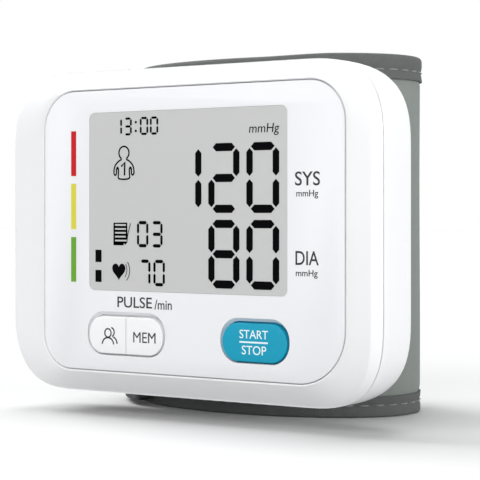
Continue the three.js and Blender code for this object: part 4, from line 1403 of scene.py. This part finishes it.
pump, _, pump_last = place_of("pump_head")
valve, _, valve_last = place_of("release_valve")
sensor, _, sensor_last = place_of("pressure_sensor")
port, port_first, _ = place_of("air_port")
manifold, manifold_first, manifold_last = place_of("air_manifold")
hose_radius = 1.3
hose_bore = 0.8
hose_bend = 2.4
manifold_step = (manifold_last.x - manifold_first.x) / 8
valve_inlet = manifold.x + manifold_step
sensor_inlet = manifold.x - 2 * manifold_step
outlet_depth = manifold_first.y + hose_radius
hose_routes = {
    "pump_hose": [
        (pump.x, pump.y, pump_last.z + seat_gap),
        (pump.x, pump.y, pump_last.z + hose_bend),
        (pump.x - hose_bend / 4, pump.y + hose_bend / 3, manifold.z - hose_bend / 2),
        ((pump.x + manifold_last.x) / 2, manifold.y, manifold.z),
        (manifold_last.x + seat_gap, manifold.y, manifold.z),
    ],
    "valve_hose": [
        (valve.x, valve.y, valve_last.z + seat_gap),
        (valve.x, valve.y, valve_last.z + hose_bend),
        (valve_inlet, manifold.y, manifold_first.z - hose_bend),
        (valve_inlet, manifold.y, manifold_first.z - seat_gap),
    ],
    "sensor_hose": [
        (sensor.x, sensor_last.y + seat_gap, sensor.z),
        (sensor.x, sensor_last.y + seat_gap + hose_bend / 3, sensor.z),
        (sensor.x + hose_bend / 2, manifold.y - hose_bend / 4, sensor.z + hose_bend / 3),
        (manifold.x - manifold_step * 8 / 3, manifold.y, manifold_first.z - 2 * hose_bend),
        (sensor_inlet, manifold.y, manifold_first.z - hose_bend),
        (sensor_inlet, manifold.y, manifold_first.z - seat_gap),
    ],
    "cuff_hose": [
        (manifold_first.x - seat_gap, outlet_depth, manifold.z),
        (manifold_first.x - hose_bend, outlet_depth, manifold.z),
        ((manifold_first.x + port.x) / 2, outlet_depth - hose_bend / 2, manifold.z - hose_bend / 3),
        (port.x + hose_bend / 2, outlet_depth - hose_bend / 2, port.z + hose_bend / 3),
        (port.x, outlet_depth, port.z),
        (port.x, port_first.y - seat_gap, port.z),
    ],
}
for node, route in hose_routes.items():
    settled(pipe(route, hose_radius, hose_bore), node + "_tube", silicone, "hose_silicone", "case", node)

# The contact strip: carbon lines through a bar of silicone
bar_middle, bar_first, bar_last = place_of("contact_strip")
line_height = 0.02
line_pitch = 0.36
line_reach = 0.4
bar_corner = 0.3
bar_shape = rounded(bar_middle.x, bar_middle.z, bar_last.x - bar_first.x, bar_last.z - bar_first.z,
                    bar_corner)
bar = loft([(bar_shape, bar_first.y + line_height), (bar_shape, bar_last.y - line_height)])
settled(bar, "strip_bar", silicone, "hose_silicone", "case", "contact_strip")
low, high = bar_middle.z - line_reach, bar_middle.z + line_reach
carbon_points, carbon_faces = [], []
for number in range(1, int((bar_last.x - bar_first.x) / line_pitch)):
    left = bar_first.x + line_pitch * number
    right = left + line_pitch / 2
    gather(carbon_points, carbon_faces, *skin(
        [[(left, depth, low), (right, depth, low), (right, depth, high), (left, depth, high)]
         for depth in (bar_first.y, bar_last.y)]))
settled(solid(carbon_points, carbon_faces), "strip_carbon", black_ink, "hose_silicone", "case")

# The cells, each a printed jacket between two metal ends
nub_length = 1
nub_radius = 1.9
nub_edge = 0.2
nub_crown_inset = 0.25
nub_flare = 0.15
cell_round = 0.5
can_gap = 0.1
can_lap = 1
can_shoulder = 0.7
base_inset = 0.8
base_edge = 0.3
base_round = 0.12
collar_length = 9
jacket_edge = 0.1
jacket_draw = 0.06
can_radius = cell_radius - can_gap
for node, way in (("battery_left", 1), ("battery_right", -1)):
    middle, first, last = place_of(node)
    base, tip = (first.z, last.z) if way > 0 else (last.z, first.z)
    shoulder = tip - way * nub_length
    jacket_end = shoulder - way * cell_round
    jacket_start = base + way * cell_round
    collar = jacket_end - way * collar_length
    cell_parts = {
        "jacket": (jacket, [node], [
            (cell_radius - jacket_draw, jacket_start),
            (cell_radius, jacket_start + way * jacket_edge),
            (cell_radius, collar)]),
        "collar": (brass, [], [
            (cell_radius, collar),
            (cell_radius, jacket_end - way * jacket_edge),
            (cell_radius - jacket_draw, jacket_end)]),
        "base": (steel, [], [
            (cell_radius - base_inset, base),
            (cell_radius - base_edge, base + way * base_round),
            (can_radius, jacket_start),
            (can_radius, jacket_start + way * can_lap)]),
        "tip": (steel, [], [
            (can_radius, jacket_end - way * can_lap),
            (can_radius, jacket_end),
            (cell_radius - can_shoulder, shoulder),
            (nub_radius + nub_flare, shoulder),
            (nub_radius, shoulder + way * nub_edge),
            (nub_radius, tip - way * nub_edge),
            (nub_radius - nub_crown_inset, tip)]),
    }
    for part, (look, replaced, profile) in cell_parts.items():
        piece = turned(middle.x, middle.y, profile)
        settled(piece, f"{node}_{part}", look, "cell_jacket", "case", *replaced)

dressed = {
    dark_plastic: ["lcd_holder", "start_switch", "user_switch", "memory_switch", "controller_chip",
                   "buzzer", "pump_head", "air_manifold", "air_port"],
    glass_look: ["lcd_glass"],
    board_green: ["circuit_board"],
    tin: ["pressure_sensor", "pump_motor", "release_valve"],
    brass: ["contact_bridge", "contact_negative", "contact_positive"],
    steel: ["battery_spring_left", "battery_spring_right",
            *[f"case_screw_{number}" for number in range(1, 5)],
            *[f"board_screw_{number}" for number in range(1, 4)],
            *[f"cuff_screw_{number}" for number in range(1, 5)]],
}
for look, left_as_they_are in dressed.items():
    for node in left_as_they_are:
        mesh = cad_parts[node].data
        mesh.materials.clear()
        mesh.materials.append(look)


# Stage, lights and camera

floor_reach = 2500
floor_drop = 0.05
floor_bounce = (0.42, 0.42, 0.42, 1)
floor_seen = (0.65, 0.65, 0.65, 1)
floor_glow = 0.03
fill_colour = (0.97, 0.985, 1, 1)
fill_level = 0.23
white = (1, 1, 1, 1)


def seen_share(tree):
    """One for a ray that shows a surface to the camera, straight, mirrored or through glass, and nothing
    for one that only lights other surfaces."""
    path = added(tree, "LightPath")
    seen = path.outputs["Is Camera Ray"]
    for ray in ("Is Glossy Ray", "Is Transmission Ray"):
        seen = added(tree, "Math", {0: seen, 1: path.outputs[ray]}, operation="MAXIMUM").outputs[0]
    return seen


def floor_look():
    look = bpy.data.materials.new("floor_white")
    look.use_nodes = True
    tree = look.node_tree
    tree.nodes.clear()
    seen = seen_share(tree)
    glow = added(tree, "Math", {0: seen, 1: floor_glow}, operation="MULTIPLY")
    tone = added(tree, "Mix", {0: seen, mix_first: floor_bounce, mix_second: floor_seen},
                 data_type="RGBA")
    surface = added(tree, "BsdfDiffuse", {"Color": tone.outputs[mix_result]})
    shine = added(tree, "Emission", {"Strength": glow.outputs[0]})
    total = added(tree, "AddShader", {0: surface.outputs[0], 1: shine.outputs[0]})
    added(tree, "OutputMaterial", {"Surface": total.outputs[0]})
    return look


floor_mesh = bpy.data.meshes.new("floor")
floor_points = [(x * MILLIMETRE, y * MILLIMETRE, -floor_drop * MILLIMETRE)
                for x, y in ((-floor_reach, -floor_reach), (floor_reach, -floor_reach),
                             (floor_reach, floor_reach), (-floor_reach, floor_reach))]
floor_mesh.from_pydata(floor_points, [], [(0, 1, 2, 3)])
floor = bpy.data.objects.new("floor", floor_mesh)
floor_mesh.materials.append(floor_look())
bpy.context.collection.objects.link(floor)

world = bpy.data.worlds.new("studio")
bpy.context.scene.world = world
world.use_nodes = True
world.node_tree.nodes.clear()
fill_light = added(world.node_tree, "Background", {"Color": fill_colour, "Strength": fill_level})
backdrop = added(world.node_tree, "Background", {"Color": white, "Strength": 1})
sky = added(world.node_tree, "MixShader", {0: seen_share(world.node_tree), 1: fill_light.outputs[0],
                                           2: backdrop.outputs[0]})
added(world.node_tree, "OutputWorld", {"Surface": sky.outputs[0]})


def sun(name, turn, rise, spread, level):
    """A wide soft light. turn is degrees from the front towards +X, rise is degrees above the floor,
    and level is how bright a white surface that faces it gets, as a share of full white."""
    light = bpy.data.lights.new(name, "SUN")
    light.angle = math.radians(spread)
    light.energy = level * math.pi
    holder = bpy.data.objects.new(name, light)
    across, up = math.radians(turn), math.radians(rise)
    towards = Vector((math.sin(across) * math.cos(up), -math.cos(across) * math.cos(up), math.sin(up)))
    holder.rotation_euler = (-towards).to_track_quat("-Z", "Y").to_euler()
    bpy.context.collection.objects.link(holder)


sun("behind", turn=-150, rise=74, spread=34, level=0.52)
sun("left", turn=-94, rise=44, spread=34, level=0.72)
sun("front", turn=1, rise=16, spread=70, level=0.68)
sun("side", turn=98, rise=3, spread=36, level=1.0)

view_angle = math.radians(35)
view_distance = 307
view_shift = 9.806
view_rise = 3.562
camera = bpy.data.cameras.new("camera")
camera.lens = 127.48
camera.sensor_width = 36
camera.shift_y = -0.0598
camera.clip_start = 0.01
stand = bpy.data.objects.new("camera", camera)
stand.location = Vector((
    panel_x + view_distance * math.sin(view_angle) + view_shift * math.cos(view_angle),
    front_y - view_distance * math.cos(view_angle) + view_shift * math.sin(view_angle),
    panel_z + view_rise,
)) * MILLIMETRE
stand.rotation_euler = (math.pi / 2, 0, view_angle)
bpy.context.collection.objects.link(stand)
bpy.context.scene.camera = stand
bpy.context.scene.view_settings.view_transform = "Standard"
